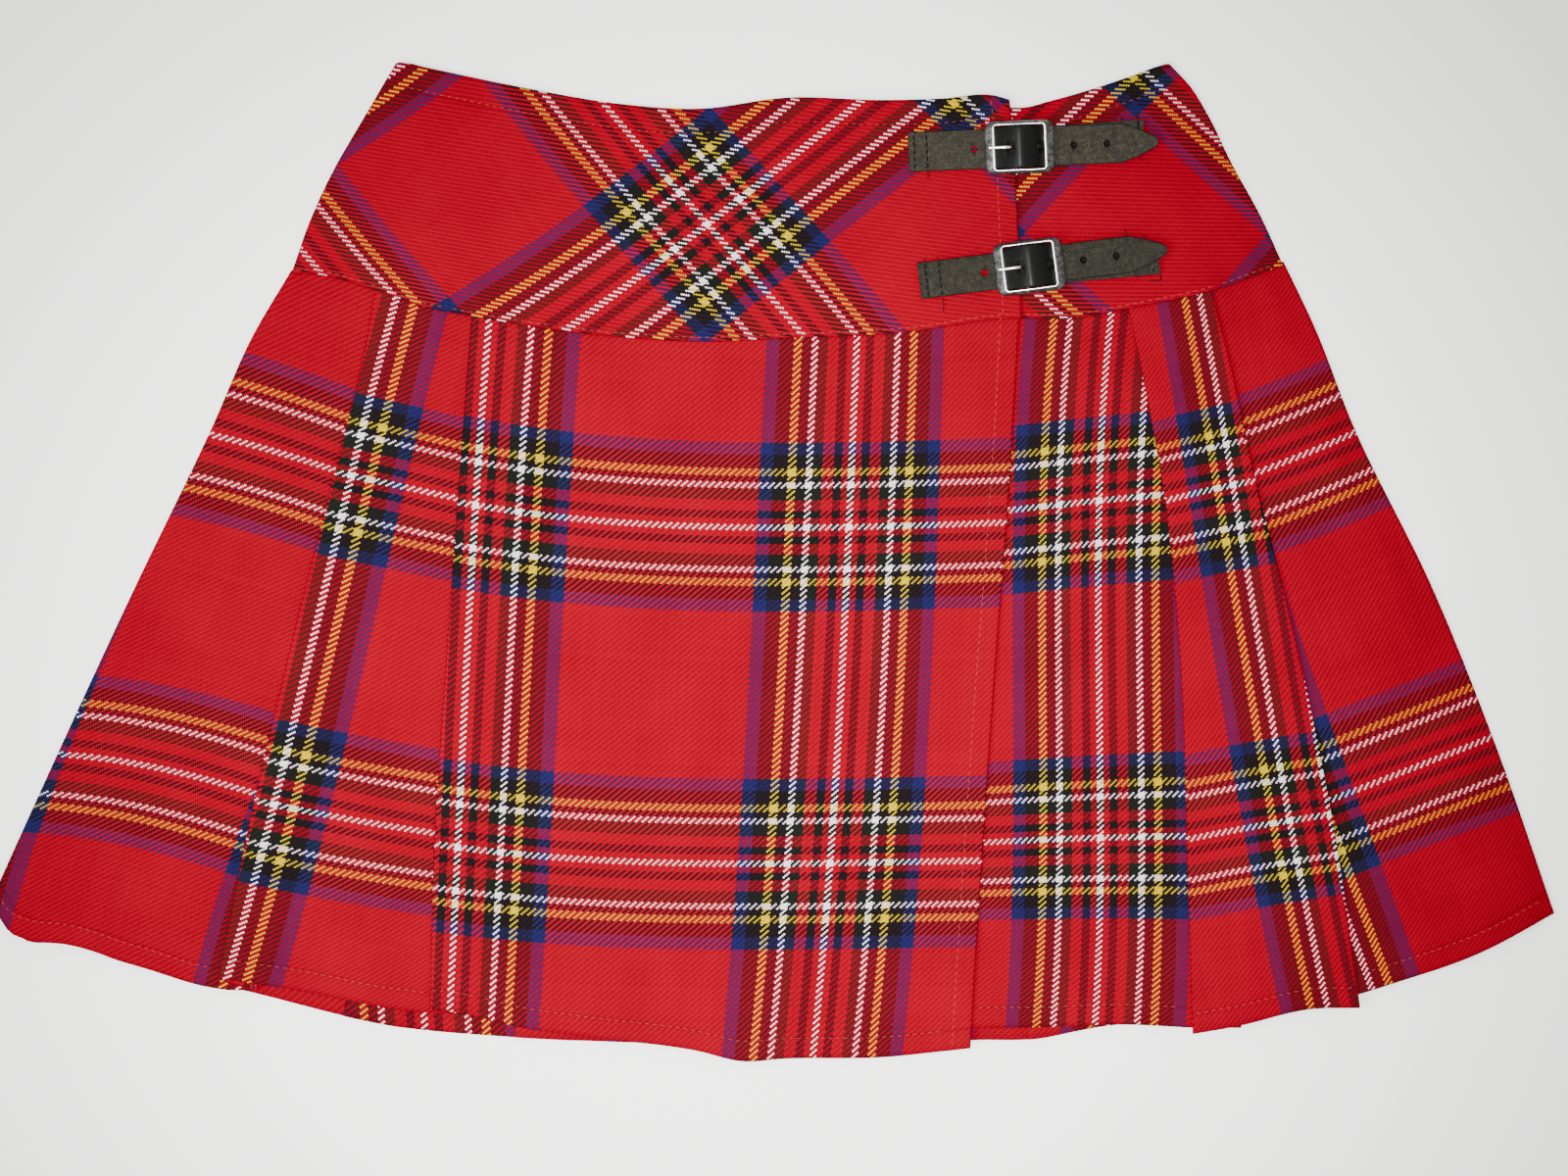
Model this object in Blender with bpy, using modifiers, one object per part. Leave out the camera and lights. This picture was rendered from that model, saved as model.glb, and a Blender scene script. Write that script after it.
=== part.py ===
"""A tartan mini kilt laid flat: a hip yoke, a pleated skirt, a wrapped apron and two leather straps.

X runs to the right, Y towards the waist and Z up from the surface that the skirt lies on. The origin
is the middle of the bounding box, on that surface. The tables hold millimetres, counted from MIDDLE.
"""

import math

import bmesh
import bpy
import numpy as np

MM = 0.001

# Where the middle of the bounding box lies in the tables.
MIDDLE = np.array((-2.09, 0.12, 0.0))

# Cloth: one layer of wool twill, and the room between it and the next.
CLOTH = 1.0
GAP = 0.3
LAYER = CLOTH + GAP
TURN = LAYER / 2
REACH = TURN + CLOTH / 2
SEAM_GAP = 0.4

# Heights of the middle of the cloth above the table.
BACK_LEVEL = CLOTH / 2
YOKE_LEVEL = BACK_LEVEL + LAYER
SKIRT_LEVEL = BACK_LEVEL + 3 * LAYER

# How the cloth rounds off at the sides and falls away beside a pleat.
SIDE_RADIUS = 1.6
SIDE_INSET = 1.8
SIDE_SLOPE = 13.0
FALL = 9.0
EDGE_TURN = 8.0
EDGE_RISE = 6.0
UNDER_APRON = 90.0

SKIRT_ROWS = 9
YOKE_ROWS = 7

# X of the side edges and folds at six stations down a piece, from its top edge to its bottom edge.
STATIONS = (0.0, 0.1, 0.25, 0.5, 0.75, 1.0)
EDGES = {
    "yoke_left": (-163.8, -169.1, -177.0, -190.0, -200.4, -208.3),
    "yoke_right": (168.8, 176.8, 184.8, 195.3, 207.1, 216.9),
    "yoke_apron": (99.5, 100.6, 101.8, 102.8, 103.9, 104.6),
    "skirt_left": (-208.3, -224.3, -242.5, -275.1, -306.6, -337.3),
    "skirt_right": (217.1, 230.4, 246.8, 280.8, 308.8, 333.1),
    "skirt_apron": (103.7, 101.9, 99.0, 93.0, 87.6, 82.7),
    "fold_1": (-171.8, -177.2, -188.2, -206.8, -224.3, -239.4),
    "fold_2": (-130.6, -133.0, -136.3, -141.8, -146.6, -148.7),
    "fold_3": (149.9, 156.5, 165.0, 172.6, 175.3, 177.7),
    "fold_4": (185.6, 193.7, 203.7, 222.7, 238.3, 249.5),
}

# Upper and lower edges of the panels, as X and Y.
CURVES = {
    "waist_over": (
        (-164.0, 214.2), (-151.0, 211.5), (-106.0, 202.5), (-67.0, 196.0), (-33.0, 194.0),
        (3.0, 198.6), (46.0, 196.6), (70.0, 197.4), (93.0, 199.5), (100.0, 197.5),
    ),
    "waist_under": (
        (0.0, 192.0), (60.0, 193.5), (98.0, 194.5), (106.0, 194.5), (116.0, 197.0),
        (131.0, 201.2), (153.0, 208.3), (169.0, 213.2),
    ),
    "waist_back": (
        (-164.0, 213.0), (-106.0, 201.0), (-67.0, 194.5), (-33.0, 192.5), (3.0, 193.0),
        (60.0, 192.5), (106.0, 193.0), (131.0, 199.8), (169.0, 212.0),
    ),
    "seam": (
        (-215.0, 123.5), (-200.0, 124.0), (-170.0, 116.3), (-155.0, 110.9), (-127.0, 105.2),
        (-97.0, 100.2), (-63.0, 96.6), (-33.0, 95.0), (3.0, 96.4), (57.0, 99.2),
        (93.0, 104.4), (131.0, 105.6), (153.0, 109.6), (185.0, 116.4), (219.0, 128.5),
    ),
    "hem_side_left": (
        (-337.3, -145.3), (-329.0, -158.3), (-321.0, -161.8), (-303.0, -164.2), (-292.0, -167.2),
        (-283.0, -170.5), (-269.0, -174.7), (-247.0, -181.5), (-236.0, -183.5),
    ),
    "hem_pleat": (
        (-240.0, -178.4), (-220.0, -181.2), (-199.0, -184.6), (-171.0, -190.4), (-148.0, -193.4),
    ),
    "hem_apron": (
        (-150.0, -191.8), (-140.0, -192.6), (-110.0, -199.4), (-79.0, -203.8), (-33.0, -209.8),
        (-16.0, -213.9), (3.0, -212.8), (46.0, -212.1), (71.0, -209.6), (83.0, -208.2),
    ),
    "hem_under": ((0.0, -200.0), (83.0, -199.6), (117.0, -199.2), (145.0, -198.2), (178.0, -199.6)),
    "hem_box": ((178.0, -202.2), (197.0, -198.8), (228.0, -191.6), (250.0, -191.0)),
    "hem_side_right": ((238.0, -188.0), (250.0, -185.0), (264.0, -180.6), (301.0, -167.6), (333.0, -150.6)),
    "hem_back": (
        (-335.5, -146.3), (-328.0, -157.6), (-303.0, -163.4), (-269.0, -174.0), (-226.0, -184.4),
        (-162.0, -199.4), (-119.0, -203.4), (-76.0, -205.6), (3.0, -207.0), (87.0, -205.0),
        (110.0, -204.6), (132.0, -200.4), (171.0, -195.0), (213.0, -185.0), (255.0, -172.0),
        (297.0, -161.6), (331.0, -150.8),
    ),
}

# Pleats of the front: how deep each fold is at the yoke seam and at the hem.
PLEAT_DEPTHS = {
    "fold_1": (26.0, 17.0),
    "fold_2": (30.0, 17.0),
    "fold_3": (15.0, 21.0),
    "fold_4": (15.0, 9.0),
}

# Knife pleats of the back: eight evenly spaced, as shares of the width from the left.
BACK_PLEATS = 8
BACK_FIRST = 0.147
BACK_STEP = 0.11
BACK_DEPTHS = (14.0, 22.0)

# One strap and buckle, measured from the middle of the buckle's bar and the under yoke's top.
STRAP_WIDTH = 16.2
STRAP_THICK = 1.5
STRAP_LEFT = -47.5
STRAP_SHOULDER = 42.0
STRAP_TIP = 59.4
STRAP_TIP_WIDTH = 5.0
HOLE_PITCH = 14.2
HOLE_FIRST = -19.3
HOLE_COUNT = 5
HOLE_RADIUS = 1.5
PRONG_HOLE = 1
BAR_HEIGHT = 5.4
BAR_RADIUS = 1.0
CHAPE_LEATHER = 1.0
CHAPE_THICK = 2 * CHAPE_LEATHER
CHAPE_END = 53.5
LOOP_RADIUS = BAR_RADIUS + GAP + CHAPE_LEATHER
CHAPE_WIDTH = 16.2
FRAME_LENGTH = 29.8
FRAME_WIDTH = 22.8
WINDOW_LENGTH = 20.8
WINDOW_WIDTH = 18.6
FRAME_THICK = 2.4
FRAME_BOTTOM = BAR_HEIGHT - 0.6
PRONG_RADIUS = 0.7
SLOT_WIDTH = 3.0

# Middle of the bar on the yoke, the turn of the set seen from above in degrees, and how far the
# chape is sewn off the strap's line.
STRAP_SETS = {
    "upper": {"x": 103.7, "y": 177.2, "turn": 2.4, "chape_shift": 0.9},
    "lower": {"x": 107.9, "y": 125.8, "turn": 7.2, "chape_shift": -0.9},
}

MATERIALS = {
    "red_tartan": {"color": (0.60, 0.010, 0.026, 1.0), "roughness": 0.85, "metallic": 0.0},
    "black_leather": {"color": (0.032, 0.032, 0.026, 1.0), "roughness": 0.55, "metallic": 0.0},
    "pewter": {"color": (0.42, 0.42, 0.40, 1.0), "roughness": 0.32, "metallic": 1.0},
}


def clear_scene():
    for old in list(bpy.data.objects):
        bpy.data.objects.remove(old, do_unlink=True)


def new_collection(name):
    collection = bpy.data.collections.new(name)
    bpy.context.scene.collection.children.link(collection)
    return collection


def make_material(name):
    look = MATERIALS[name]
    material = bpy.data.materials.new(name)
    material.use_nodes = True
    shader = material.node_tree.nodes["Principled BSDF"]
    shader.inputs["Base Color"].default_value = look["color"]
    shader.inputs["Roughness"].default_value = look["roughness"]
    shader.inputs["Metallic"].default_value = look["metallic"]
    return material


def curve(points):
    """A smooth Y of X through the points, level with its end points beyond them."""
    xs, ys = np.array(points, float).T
    slopes = np.gradient(ys, xs)

    def value(x):
        x = np.clip(x, xs[0], xs[-1])
        k = np.clip(np.searchsorted(xs, x) - 1, 0, len(xs) - 2)
        width = xs[k + 1] - xs[k]
        t = (x - xs[k]) / width
        start = (1 + 2 * t) * (1 - t) ** 2 * ys[k] + t * (1 - t) ** 2 * width * slopes[k]
        end = t * t * (3 - 2 * t) * ys[k + 1] + t * t * (t - 1) * width * slopes[k + 1]
        return start + end

    return value


def ease(t):
    t = np.clip(t, 0.0, 1.0)
    return t * t * (3 - 2 * t)


def edge(name, rows):
    return curve(list(zip(STATIONS, EDGES[name])))(np.linspace(0, 1, rows))


def taper(depths, rows):
    return np.linspace(depths[0], depths[1], rows)


def side_arc(x, inwards):
    """X and Z of the cloth where it rounds up from the table at a side edge, outermost first."""
    wall_x = x + inwards * CLOTH / 2
    center = wall_x + inwards * SIDE_RADIUS
    arc = [(wall_x, 0.0)]
    for angle in np.radians((0.0, 30.0, 60.0, 90.0)):
        across = center - inwards * SIDE_RADIUS * math.cos(angle)
        arc.append((across, CLOTH / 2 + SIDE_RADIUS * math.sin(angle)))
    return arc


class Cloth:
    """The middle surface of one piece, laid down column by column from its left edge to its right."""

    def __init__(self, top, bottom, rows, lift=0.0, drop=0.0):
        self.top = top
        self.bottom = bottom
        self.rows = rows
        self.fractions = np.linspace(0, 1, rows)
        self.lift = lift
        self.drop = drop
        self.columns = []

    def column(self, x, z, bottom=None):
        """One line of cloth from the top edge to the bottom edge."""
        x = np.broadcast_to(np.asarray(x, float), (self.rows,))
        z = np.broadcast_to(np.asarray(z, float), (self.rows,))
        high = self.top(x[0]) + self.drop
        low = (bottom or self.bottom)(x[-1]) + self.lift
        y = high + (low - high) * self.fractions
        self.columns.append(np.stack([x, y, z], axis=1))

    def last(self):
        return self.columns[-1][:, 0], self.columns[-1][:, 2]

    def run(self, x, z, count=1, bottom=None):
        """Goes on to x, easing from the height so far to z, and over to another lower edge if one is given."""
        from_x, from_z = self.last()
        before = self.bottom
        after = bottom or before
        for step in range(1, count + 1):
            t = step / count

            def mixed(at, t=t):
                return (1 - t) * before(at) + t * after(at)

            self.column(from_x + (x - from_x) * t, from_z + (z - from_z) * ease(t), mixed)
        self.bottom = after

    def turn(self, side, rise, count=4):
        """Folds the cloth back with a half circle that bulges to the side, up or down by the rise."""
        from_x, from_z = self.last()
        for step in range(1, count + 1):
            angle = math.pi * step / count
            out = side * abs(rise) / 2 * math.sin(angle)
            self.column(from_x + out, from_z + rise / 2 * (1 - math.cos(angle)))

    def start_side(self, x, inner_x, z):
        """A left side edge at x, from the table up and in to the level z at inner_x."""
        for across, height in side_arc(x, 1):
            self.column(across, height)
        self.run(inner_x, z, 4)

    def end_side(self, x):
        """A right side edge at x, from the height so far down to the table."""
        arc = side_arc(x, -1)
        self.run(*arc.pop(), 4)
        for across, height in reversed(arc):
            self.column(across, height)

    def pleat(self, far, near, rise, bottom=None):
        """Runs right to far, turns back to near and turns on again; each turn changes the level by rise."""
        level = self.last()[1]
        self.run(far - REACH, level, 6)
        self.turn(1, rise)
        self.run(near + REACH, level + rise, 3, bottom)
        self.turn(-1, rise)

    def solid(self, name, collection, material):
        """The wall round the middle surface, half its thickness to each side."""
        mesh = bpy.data.meshes.new(name)
        work = bmesh.new()
        grid = [[work.verts.new((point - MIDDLE) * MM) for point in column] for column in self.columns]
        for left, right in zip(grid, grid[1:]):
            for row in range(self.rows - 1):
                work.faces.new((left[row], left[row + 1], right[row + 1], right[row]))
        work.to_mesh(mesh)
        work.free()
        piece = bpy.data.objects.new(name, mesh)
        collection.objects.link(piece)
        piece.data.materials.append(material)
        wall = piece.modifiers.new("Wall", "SOLIDIFY")
        wall.thickness = CLOTH * MM
        wall.offset = 0.0
        wall.use_even_offset = True
        piece.data.shade_smooth()
        return piece


def yoke_rise(fraction):
    """The yoke lies low at the waist and climbs to the pleats at the seam."""
    return YOKE_LEVEL + (SKIRT_LEVEL - YOKE_LEVEL) * fraction**2


def swell(x, fraction):
    """How far the pleats under the seam lift the yoke at x."""
    lift = 0.0
    for name in ("fold_1", "fold_2"):
        start = EDGES[name][0]
        end = start + PLEAT_DEPTHS[name][0]
        lift += ease((x - start + FALL) / FALL) * ease((end + FALL - x) / FALL)
    box = ease((x - EDGES["fold_3"][0] + FALL) / FALL)
    lift += box * ease((EDGES["fold_4"][0] + FALL - x) / FALL)
    return 2 * LAYER * lift * fraction**5


def turned_edge(cloth, edge_x, level):
    """The apron's edge: the cloth climbs over its own turned allowance, folds under and runs back."""
    cloth.run(edge_x - REACH - EDGE_TURN, level + LAYER, 3)
    cloth.run(edge_x - REACH, level + LAYER, 2)
    cloth.turn(1, -LAYER)
    cloth.run(edge_x - EDGE_TURN, level, 2)


def build_skirt_over(collection, material):
    """The over apron's skirt: side panel, two knife pleats that face left, and the turned front edge."""
    rows = SKIRT_ROWS
    left = edge("skirt_left", rows)
    apron = edge("skirt_apron", rows)
    cloth = Cloth(curve(CURVES["seam"]), curve(CURVES["hem_side_left"]), rows, drop=-SEAM_GAP / 2)
    cloth.start_side(left, left + SIDE_SLOPE, SKIRT_LEVEL)
    for name, hem in (("fold_1", "hem_pleat"), ("fold_2", "hem_apron")):
        near = edge(name, rows)
        far = near + taper(PLEAT_DEPTHS[name], rows)
        cloth.pleat(far, near, LAYER, curve(CURVES[hem]))
        cloth.run(far, SKIRT_LEVEL + 2 * LAYER, 3)
        cloth.run(far + FALL, SKIRT_LEVEL, 4)
    under = apron - UNDER_APRON
    cloth.run(under - FALL - GAP, SKIRT_LEVEL, 7)
    cloth.run(under - GAP, SKIRT_LEVEL + LAYER, 4)
    cloth.run(apron - REACH - EDGE_TURN - EDGE_RISE, SKIRT_LEVEL + LAYER, 6)
    turned_edge(cloth, apron, SKIRT_LEVEL + LAYER)
    return cloth.solid("skirt_front_over", collection, material)


def build_skirt_under(collection, material):
    """The under apron's skirt: a plain panel, the box pleat and the right side panel."""
    rows = SKIRT_ROWS
    right = edge("skirt_right", rows)
    cloth = Cloth(curve(CURVES["seam"]), curve(CURVES["hem_under"]), rows, drop=-SEAM_GAP / 2)
    cloth.column(edge("skirt_apron", rows) - UNDER_APRON, SKIRT_LEVEL)
    near = edge("fold_3", rows)
    cloth.run(near - FALL, SKIRT_LEVEL, 8)
    cloth.pleat(near + taper(PLEAT_DEPTHS["fold_3"], rows), near, LAYER, curve(CURVES["hem_box"]))
    far = edge("fold_4", rows)
    near = far - taper(PLEAT_DEPTHS["fold_4"], rows)
    cloth.pleat(far, near, -LAYER, curve(CURVES["hem_side_right"]))
    cloth.run(far + CLOTH, SKIRT_LEVEL, 4)
    cloth.run(right - SIDE_SLOPE, SKIRT_LEVEL, 6)
    cloth.end_side(right)
    return cloth.solid("skirt_front_under", collection, material)


def build_skirt_back(collection, material):
    """The back skirt: its panels lie flat on the table and its knife pleats fold up inside."""
    rows = SKIRT_ROWS
    left = edge("skirt_left", rows) + SIDE_INSET
    right = edge("skirt_right", rows) - SIDE_INSET
    cloth = Cloth(curve(CURVES["seam"]), curve(CURVES["hem_back"]), rows, drop=-SEAM_GAP / 2)
    cloth.column(left, BACK_LEVEL)
    for index in range(BACK_PLEATS):
        far = left + (right - left) * (BACK_FIRST + BACK_STEP * index)
        cloth.pleat(far, far - taper(BACK_DEPTHS, rows), LAYER)
        cloth.run(far, BACK_LEVEL + 2 * LAYER, 3)
        cloth.run(far + FALL, BACK_LEVEL, 4)
    cloth.run(right, BACK_LEVEL, 3)
    return cloth.solid("skirt_back", collection, material)


def build_yoke_over(collection, material):
    rows = YOKE_ROWS
    fraction = np.linspace(0, 1, rows)
    level = yoke_rise(fraction)
    left = edge("yoke_left", rows)
    apron = edge("yoke_apron", rows)
    cloth = Cloth(curve(CURVES["waist_over"]), curve(CURVES["seam"]), rows, lift=SEAM_GAP / 2)
    cloth.start_side(left, left + SIDE_SLOPE, level)
    start = left + SIDE_SLOPE
    end = apron - UNDER_APRON - FALL
    count = 22
    for step in range(1, count + 1):
        x = start + (end - start) * step / count
        cloth.column(x, level + swell(x[-1], fraction))
    cloth.run(apron - UNDER_APRON - GAP, level + LAYER, 3)
    cloth.run(apron - REACH - EDGE_TURN - EDGE_RISE, level + LAYER, 6)
    turned_edge(cloth, apron, level + LAYER)
    return cloth.solid("yoke_front_over", collection, material)


def build_yoke_under(collection, material):
    rows = YOKE_ROWS
    fraction = np.linspace(0, 1, rows)
    level = yoke_rise(fraction)
    right = edge("yoke_right", rows)
    start = edge("yoke_apron", rows) - UNDER_APRON
    cloth = Cloth(curve(CURVES["waist_under"]), curve(CURVES["seam"]), rows, lift=SEAM_GAP / 2)
    cloth.column(start, level)
    end = right - SIDE_SLOPE
    count = 22
    for step in range(1, count + 1):
        x = start + (end - start) * step / count
        cloth.column(x, level + swell(x[-1], fraction))
    cloth.end_side(right)
    return cloth.solid("yoke_front_under", collection, material)


def build_yoke_back(collection, material):
    rows = YOKE_ROWS
    left = edge("yoke_left", rows) + SIDE_INSET
    right = edge("yoke_right", rows) - SIDE_INSET
    cloth = Cloth(curve(CURVES["waist_back"]), curve(CURVES["seam"]), rows, lift=SEAM_GAP / 2)
    cloth.column(left, BACK_LEVEL)
    cloth.run(right, BACK_LEVEL, 42)
    return cloth.solid("yoke_back", collection, material)


def strap_height(u):
    """Middle of the strap above the under yoke: on the over yoke, over the bar and on the chape."""
    on_yoke = LAYER + GAP + STRAP_THICK / 2
    on_edge = 2 * LAYER + GAP + STRAP_THICK / 2
    on_chape = GAP + CHAPE_THICK + GAP + STRAP_THICK / 2
    over_bar = BAR_HEIGHT + LOOP_RADIUS + GAP + STRAP_THICK / 2
    rim = WINDOW_LENGTH / 2
    if u < -rim:
        return on_yoke + (on_edge - on_yoke) * ease((u + rim + 8.0) / 8.0)
    side = on_edge if u < 0 else on_chape
    return side + (over_bar - side) * ease((rim - abs(u)) / rim)


def loft(sections, name):
    """A closed body through sections of four corners each, from one end to the other."""
    mesh = bpy.data.meshes.new(name)
    work = bmesh.new()
    rings = [[work.verts.new([value * MM for value in corner]) for corner in ring] for ring in sections]
    for first, second in zip(rings, rings[1:]):
        for k in range(4):
            work.faces.new((first[k], first[(k + 1) % 4], second[(k + 1) % 4], second[k]))
    work.faces.new(reversed(rings[0]))
    work.faces.new(rings[-1])
    bmesh.ops.recalc_face_normals(work, faces=work.faces)
    work.to_mesh(mesh)
    work.free()
    return mesh


def strip_sections(stations, thickness, shift=0.0):
    """Sections square to a strip that runs along u at the height z, from rows of u, z and width."""
    us = np.array([row[0] for row in stations])
    zs = np.array([row[1] for row in stations])
    slopes = np.gradient(zs, us)
    sections = []
    for (u, z, width), slope in zip(stations, slopes):
        length = math.hypot(1, slope)
        du = -slope / length * thickness / 2
        dz = 1 / length * thickness / 2
        near = shift - width / 2
        far = shift + width / 2
        sections.append(
            ((u + du, near, z + dz), (u + du, far, z + dz), (u - du, far, z - dz), (u - du, near, z - dz))
        )
    return sections


def strap_width(u):
    """Full width up to the shoulder, then in to a rounded tip."""
    along = (u - STRAP_SHOULDER) / (STRAP_TIP - STRAP_SHOULDER)
    if along <= 0:
        return STRAP_WIDTH
    return STRAP_TIP_WIDTH + (STRAP_WIDTH - STRAP_TIP_WIDTH) * (1 - along**1.6)


def add_cutter(kind, name, collection, location, size, rotation=(0, 0, 0)):
    """A cylinder of size radius and depth, or a box of three sides, that only cuts."""
    mesh = bpy.data.meshes.new(name)
    work = bmesh.new()
    if kind == "cylinder":
        radius, depth = size
        bmesh.ops.create_cone(
            work, cap_ends=True, segments=12, radius1=radius * MM, radius2=radius * MM, depth=depth * MM
        )
    else:
        bmesh.ops.create_cube(work, size=1.0)
        bmesh.ops.scale(work, vec=[side * MM for side in size], verts=work.verts)
    work.to_mesh(mesh)
    work.free()
    cutter = bpy.data.objects.new(name, mesh)
    cutter.location = [value * MM for value in location]
    cutter.rotation_euler = rotation
    cutter.hide_render = True
    cutter.display_type = "WIRE"
    collection.objects.link(cutter)
    return cutter


def apply_boolean(piece, other, operation):
    step = piece.modifiers.new(other.name, "BOOLEAN")
    step.operation = operation
    step.object = other
    step.solver = "EXACT"


def parented(piece, holder, material):
    piece.parent = holder
    if material:
        piece.data.materials.append(material)
    return piece


def build_strap(tag, holder, collection, cutters, material):
    flat = [STRAP_LEFT, -34.0, -22.0, -18.4, -16.4, -14.4, -12.4]
    arch = list(np.linspace(-10.4, 10.4, 14))
    tail = [13.0, 28.0, STRAP_SHOULDER, 46.0, 50.0, 54.0, 57.0, 58.8, STRAP_TIP]
    stations = [(u, strap_height(u), strap_width(u)) for u in flat + arch + tail]
    name = "strap_" + tag
    piece = bpy.data.objects.new(name, loft(strip_sections(stations, STRAP_THICK), name))
    collection.objects.link(piece)
    parented(piece, holder, material)
    for index in range(HOLE_COUNT):
        u = HOLE_FIRST + HOLE_PITCH * index
        where = (u, 0, strap_height(u))
        cutter_name = f"hole_{tag}_{index}"
        if index == PRONG_HOLE:
            slot = (4.6, SLOT_WIDTH, 12.0)
            cutter = add_cutter("box", cutter_name, cutters, where, slot)
        else:
            cutter = add_cutter("cylinder", cutter_name, cutters, where, (HOLE_RADIUS, 8.0))
        cutter.parent = holder
        apply_boolean(piece, cutter, "DIFFERENCE")
    return piece


def build_chape(tag, shift, holder, collection, cutters, material):
    """The folded tab under the strap, with its loop round the bar and the slot for the prong."""
    flat = GAP + CHAPE_THICK / 2
    stations = [(CHAPE_END, flat, CHAPE_WIDTH), (30.0, flat, CHAPE_WIDTH), (11.0, flat, CHAPE_WIDTH)]
    for t in (0.25, 0.5, 0.75, 1.0):
        u = 11.0 + (1.6 - 11.0) * t
        stations.append((u, flat + (BAR_HEIGHT - flat) * ease(t * 0.85), CHAPE_WIDTH))
    name = "chape_" + tag
    piece = bpy.data.objects.new(name, loft(strip_sections(stations, CHAPE_THICK, shift), name))
    collection.objects.link(piece)
    parented(piece, holder, material)
    across = (math.pi / 2, 0, 0)
    middle = (0, shift, BAR_HEIGHT)
    roll = add_cutter("cylinder", f"loop_{tag}", cutters, middle, (LOOP_RADIUS, CHAPE_WIDTH), across)
    bore = add_cutter("cylinder", f"bore_{tag}", cutters, middle, (BAR_RADIUS + GAP, 24.0), across)
    slot = add_cutter(
        "box", f"prong_slot_{tag}", cutters, (-2.0, 0, BAR_HEIGHT), (4.6, SLOT_WIDTH, 3.6)
    )
    for cutter, operation in ((roll, "UNION"), (bore, "DIFFERENCE"), (slot, "DIFFERENCE")):
        cutter.parent = holder
        apply_boolean(piece, cutter, operation)
    return piece


def rounded_loop(work, length, width, radius, z):
    """A rounded rectangle of edges at the height z."""
    verts = []
    for quarter in range(4):
        sign_x = (1, -1, -1, 1)[quarter]
        sign_y = (1, 1, -1, -1)[quarter]
        for step in range(5):
            angle = math.radians(90 * quarter + 90 * step / 4)
            x = sign_x * (length / 2 - radius) + radius * math.cos(angle)
            y = sign_y * (width / 2 - radius) + radius * math.sin(angle)
            verts.append(work.verts.new((x * MM, y * MM, z * MM)))
    return [work.edges.new((a, b)) for a, b in zip(verts, verts[1:] + verts[:1])]


def build_buckle(tag, holder, collection, cutters, material):
    """A frame that slopes from its inner crest to its outer edge, with a bar across the middle."""
    low = FRAME_BOTTOM
    high = FRAME_BOTTOM + FRAME_THICK
    profile = (
        (FRAME_LENGTH - 0.8, FRAME_WIDTH - 0.8, 4.4, low),
        (FRAME_LENGTH, FRAME_WIDTH, 4.8, low + 0.5),
        (FRAME_LENGTH - 0.6, FRAME_WIDTH - 0.5, 4.6, low + 1.2),
        (WINDOW_LENGTH + 2.2, WINDOW_WIDTH + 1.6, 2.6, high),
        (WINDOW_LENGTH + 0.7, WINDOW_WIDTH + 0.6, 1.8, high - 0.1),
        (WINDOW_LENGTH, WINDOW_WIDTH, 1.5, high - 0.8),
        (WINDOW_LENGTH, WINDOW_WIDTH, 1.5, low),
    )
    work = bmesh.new()
    loops = [rounded_loop(work, length, width, radius, z) for length, width, radius, z in profile]
    for first, second in zip(loops, loops[1:] + loops[:1]):
        bmesh.ops.bridge_loops(work, edges=first + second)
    bmesh.ops.recalc_face_normals(work, faces=work.faces)
    name = "buckle_" + tag
    mesh = bpy.data.meshes.new(name)
    work.to_mesh(mesh)
    work.free()
    piece = bpy.data.objects.new(name, mesh)
    collection.objects.link(piece)
    parented(piece, holder, material)
    bar_length = (WINDOW_WIDTH + FRAME_WIDTH) / 2
    bar = add_cutter(
        "cylinder", f"bar_{tag}", cutters, (0, 0, BAR_HEIGHT), (BAR_RADIUS, bar_length), (math.pi / 2, 0, 0)
    )
    bar.parent = holder
    apply_boolean(piece, bar, "UNION")
    return piece


def build_prong(tag, holder, collection, material):
    """A bent wire from the bar, up through the strap and across the frame's left side."""
    rest = FRAME_BOTTOM + FRAME_THICK + GAP + PRONG_RADIUS
    root = -(BAR_RADIUS + GAP + PRONG_RADIUS)
    route = (
        (root, BAR_HEIGHT),
        (-3.6, BAR_HEIGHT + 0.3),
        (-5.4, BAR_HEIGHT + 1.1),
        (-7.6, BAR_HEIGHT + 2.3),
        (-9.6, rest),
        (-14.2, rest),
    )
    data = bpy.data.curves.new("prong_" + tag, "CURVE")
    data.dimensions = "3D"
    data.bevel_depth = PRONG_RADIUS * MM
    data.bevel_resolution = 2
    data.use_fill_caps = True
    spline = data.splines.new("POLY")
    spline.points.add(len(route) - 1)
    for point, (u, z) in zip(spline.points, route):
        point.co = (u * MM, 0, z * MM, 1)
    piece = bpy.data.objects.new("prong_" + tag, data)
    collection.objects.link(piece)
    return parented(piece, holder, material)


def under_yoke_top(x, y):
    """Height of the under yoke's upper face at a place on it, found by walking down its column there."""
    waist = curve(CURVES["waist_under"])
    seam = curve(CURVES["seam"])
    start = curve(list(zip(STATIONS, EDGES["yoke_apron"])))
    end = curve(list(zip(STATIONS, EDGES["yoke_right"])))
    fraction = 0.5
    for _ in range(6):
        left = start(fraction) - UNDER_APRON
        share = (x - left) / (end(fraction) - SIDE_SLOPE - left)
        at_waist = start(0) - UNDER_APRON + share * (end(0) - SIDE_SLOPE - start(0) + UNDER_APRON)
        at_seam = start(1) - UNDER_APRON + share * (end(1) - SIDE_SLOPE - start(1) + UNDER_APRON)
        fraction = (waist(at_waist) - y) / (waist(at_waist) - seam(at_seam))
    return yoke_rise(fraction) + swell(at_seam, fraction) + CLOTH / 2


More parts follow.
